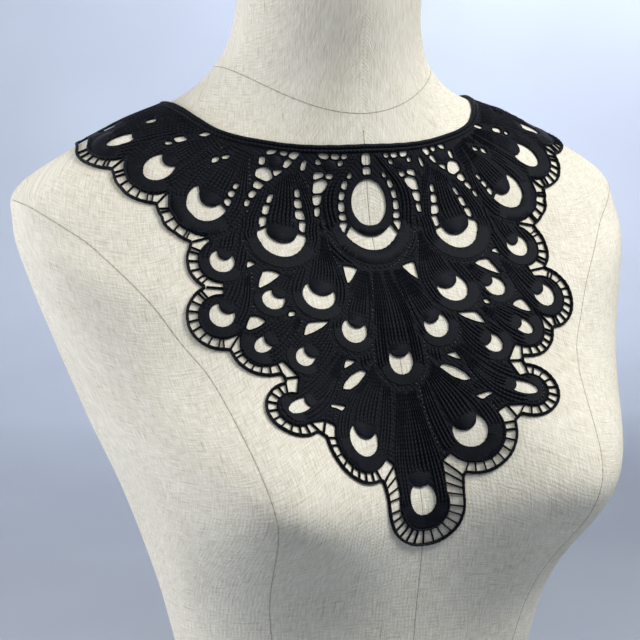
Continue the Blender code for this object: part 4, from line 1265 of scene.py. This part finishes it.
# the studio
def sweep():
    """Pale paper floor that curves up all round, metres."""
    profile = [(0.8, 0.0), (1.9, 0.0), (2.2, 0.05), (2.45, 0.17), (2.63, 0.38), (2.72, 0.68), (2.75, 1.2),
               (2.75, 3.2)]
    turns = [math.radians(a) for a in range(0, 360, 6)]
    places = [(r * math.sin(a), r * math.cos(a), z) for a in turns for r, z in profile]
    count = len(profile)
    whole = len(places)
    faces = []
    for k in range(len(turns)):
        for i in range(count - 1):
            a = k * count + i
            faces.append((a, (a + count) % whole, (a + count + 1) % whole, a + 1))
    faces.append(tuple(k * count for k in range(len(turns)))[::-1])
    mesh = bpy.data.meshes.new("paper_sweep")
    mesh.from_pydata(places, [], faces)
    mesh.shade_smooth()
    material, tree, skin = finish_of("matt_paper")
    where = put(tree, "TexCoord").outputs["Object"]
    grain = noise(tree, where, 3.0, 2.0)
    plug(skin, {"Base Color": ramp(tree, grain, [(0.3, "9da3ae"), (0.7, "a3aab4")]), "Roughness": 0.9})
    mesh.materials.append(material)
    paper = stand("paper_sweep", mesh)


def lamp(name, place, aim, size, power, colour):
    light = bpy.data.lights.new(name, "AREA")
    light.shape = "RECTANGLE"
    light.size = size[0]
    light.size_y = size[1]
    light.energy = power
    light.spread = math.radians(180)
    light.color = linear(colour)[:3]
    held = stand(name, light)
    held.location = place
    held.rotation_euler = (Vector(aim) - Vector(place)).to_track_quat("-Z", "Y").to_euler()


def camera():
    """Seen from 21 degrees to the right arm's side and slightly from above, with a long lens."""
    turn = math.radians(-21.2)
    rise = math.radians(6.4)
    roll = math.radians(-1.3)
    away = 1.025
    focal_length = 1900      # in pixels of a picture 640 pixels wide
    target = Vector((-0.0366, -0.06 + FORM_SHIFT / 100, 0.3578))
    ahead = Vector((-math.sin(turn) * math.cos(rise), math.cos(turn) * math.cos(rise), -math.sin(rise)))
    right = Vector((math.cos(turn), math.sin(turn), 0))
    up = right.cross(ahead)
    right, up = (right * math.cos(roll) + up * math.sin(roll), up * math.cos(roll) - right * math.sin(roll))
    lens = bpy.data.cameras.new("studio_camera")
    lens.sensor_width = 36
    lens.lens = focal_length / 640 * lens.sensor_width
    lens.clip_end = 20
    shot = stand("studio_camera", lens)
    place = target - ahead * away
    shot.matrix_world = Matrix([[right[k], up[k], -ahead[k], place[k]] for k in range(3)] + [[0, 0, 0, 1]])
    bpy.context.scene.camera = shot


sweep()
lamp("key_light", (0.85, -0.7, 1.5), (0, 0, 0.5), (0.7, 0.7), 29, "fffefc")
lamp("side_light", (-1.4, 0.35, 0.62), (0, 0, 0.36), (0.9, 0.9), 21, "fbfbff")
lamp("top_light", (-0.35, -1.0, 1.6), (0, 0, 0.55), (0.6, 0.6), 8, "fdfcfa")
lamp("paper_light", (1.6, 1.7, 1.5), (1.1, 2.6, 1.3), (1.2, 0.5), 70, "f2f5ff")
world = bpy.data.worlds.new("soft_room")
world.use_nodes = True
plug(world.node_tree.nodes["Background"], {"Color": linear("e6edfa"), "Strength": 0.12})
bpy.context.scene.world = world
bpy.context.scene.view_settings.view_transform = "Standard"
camera()
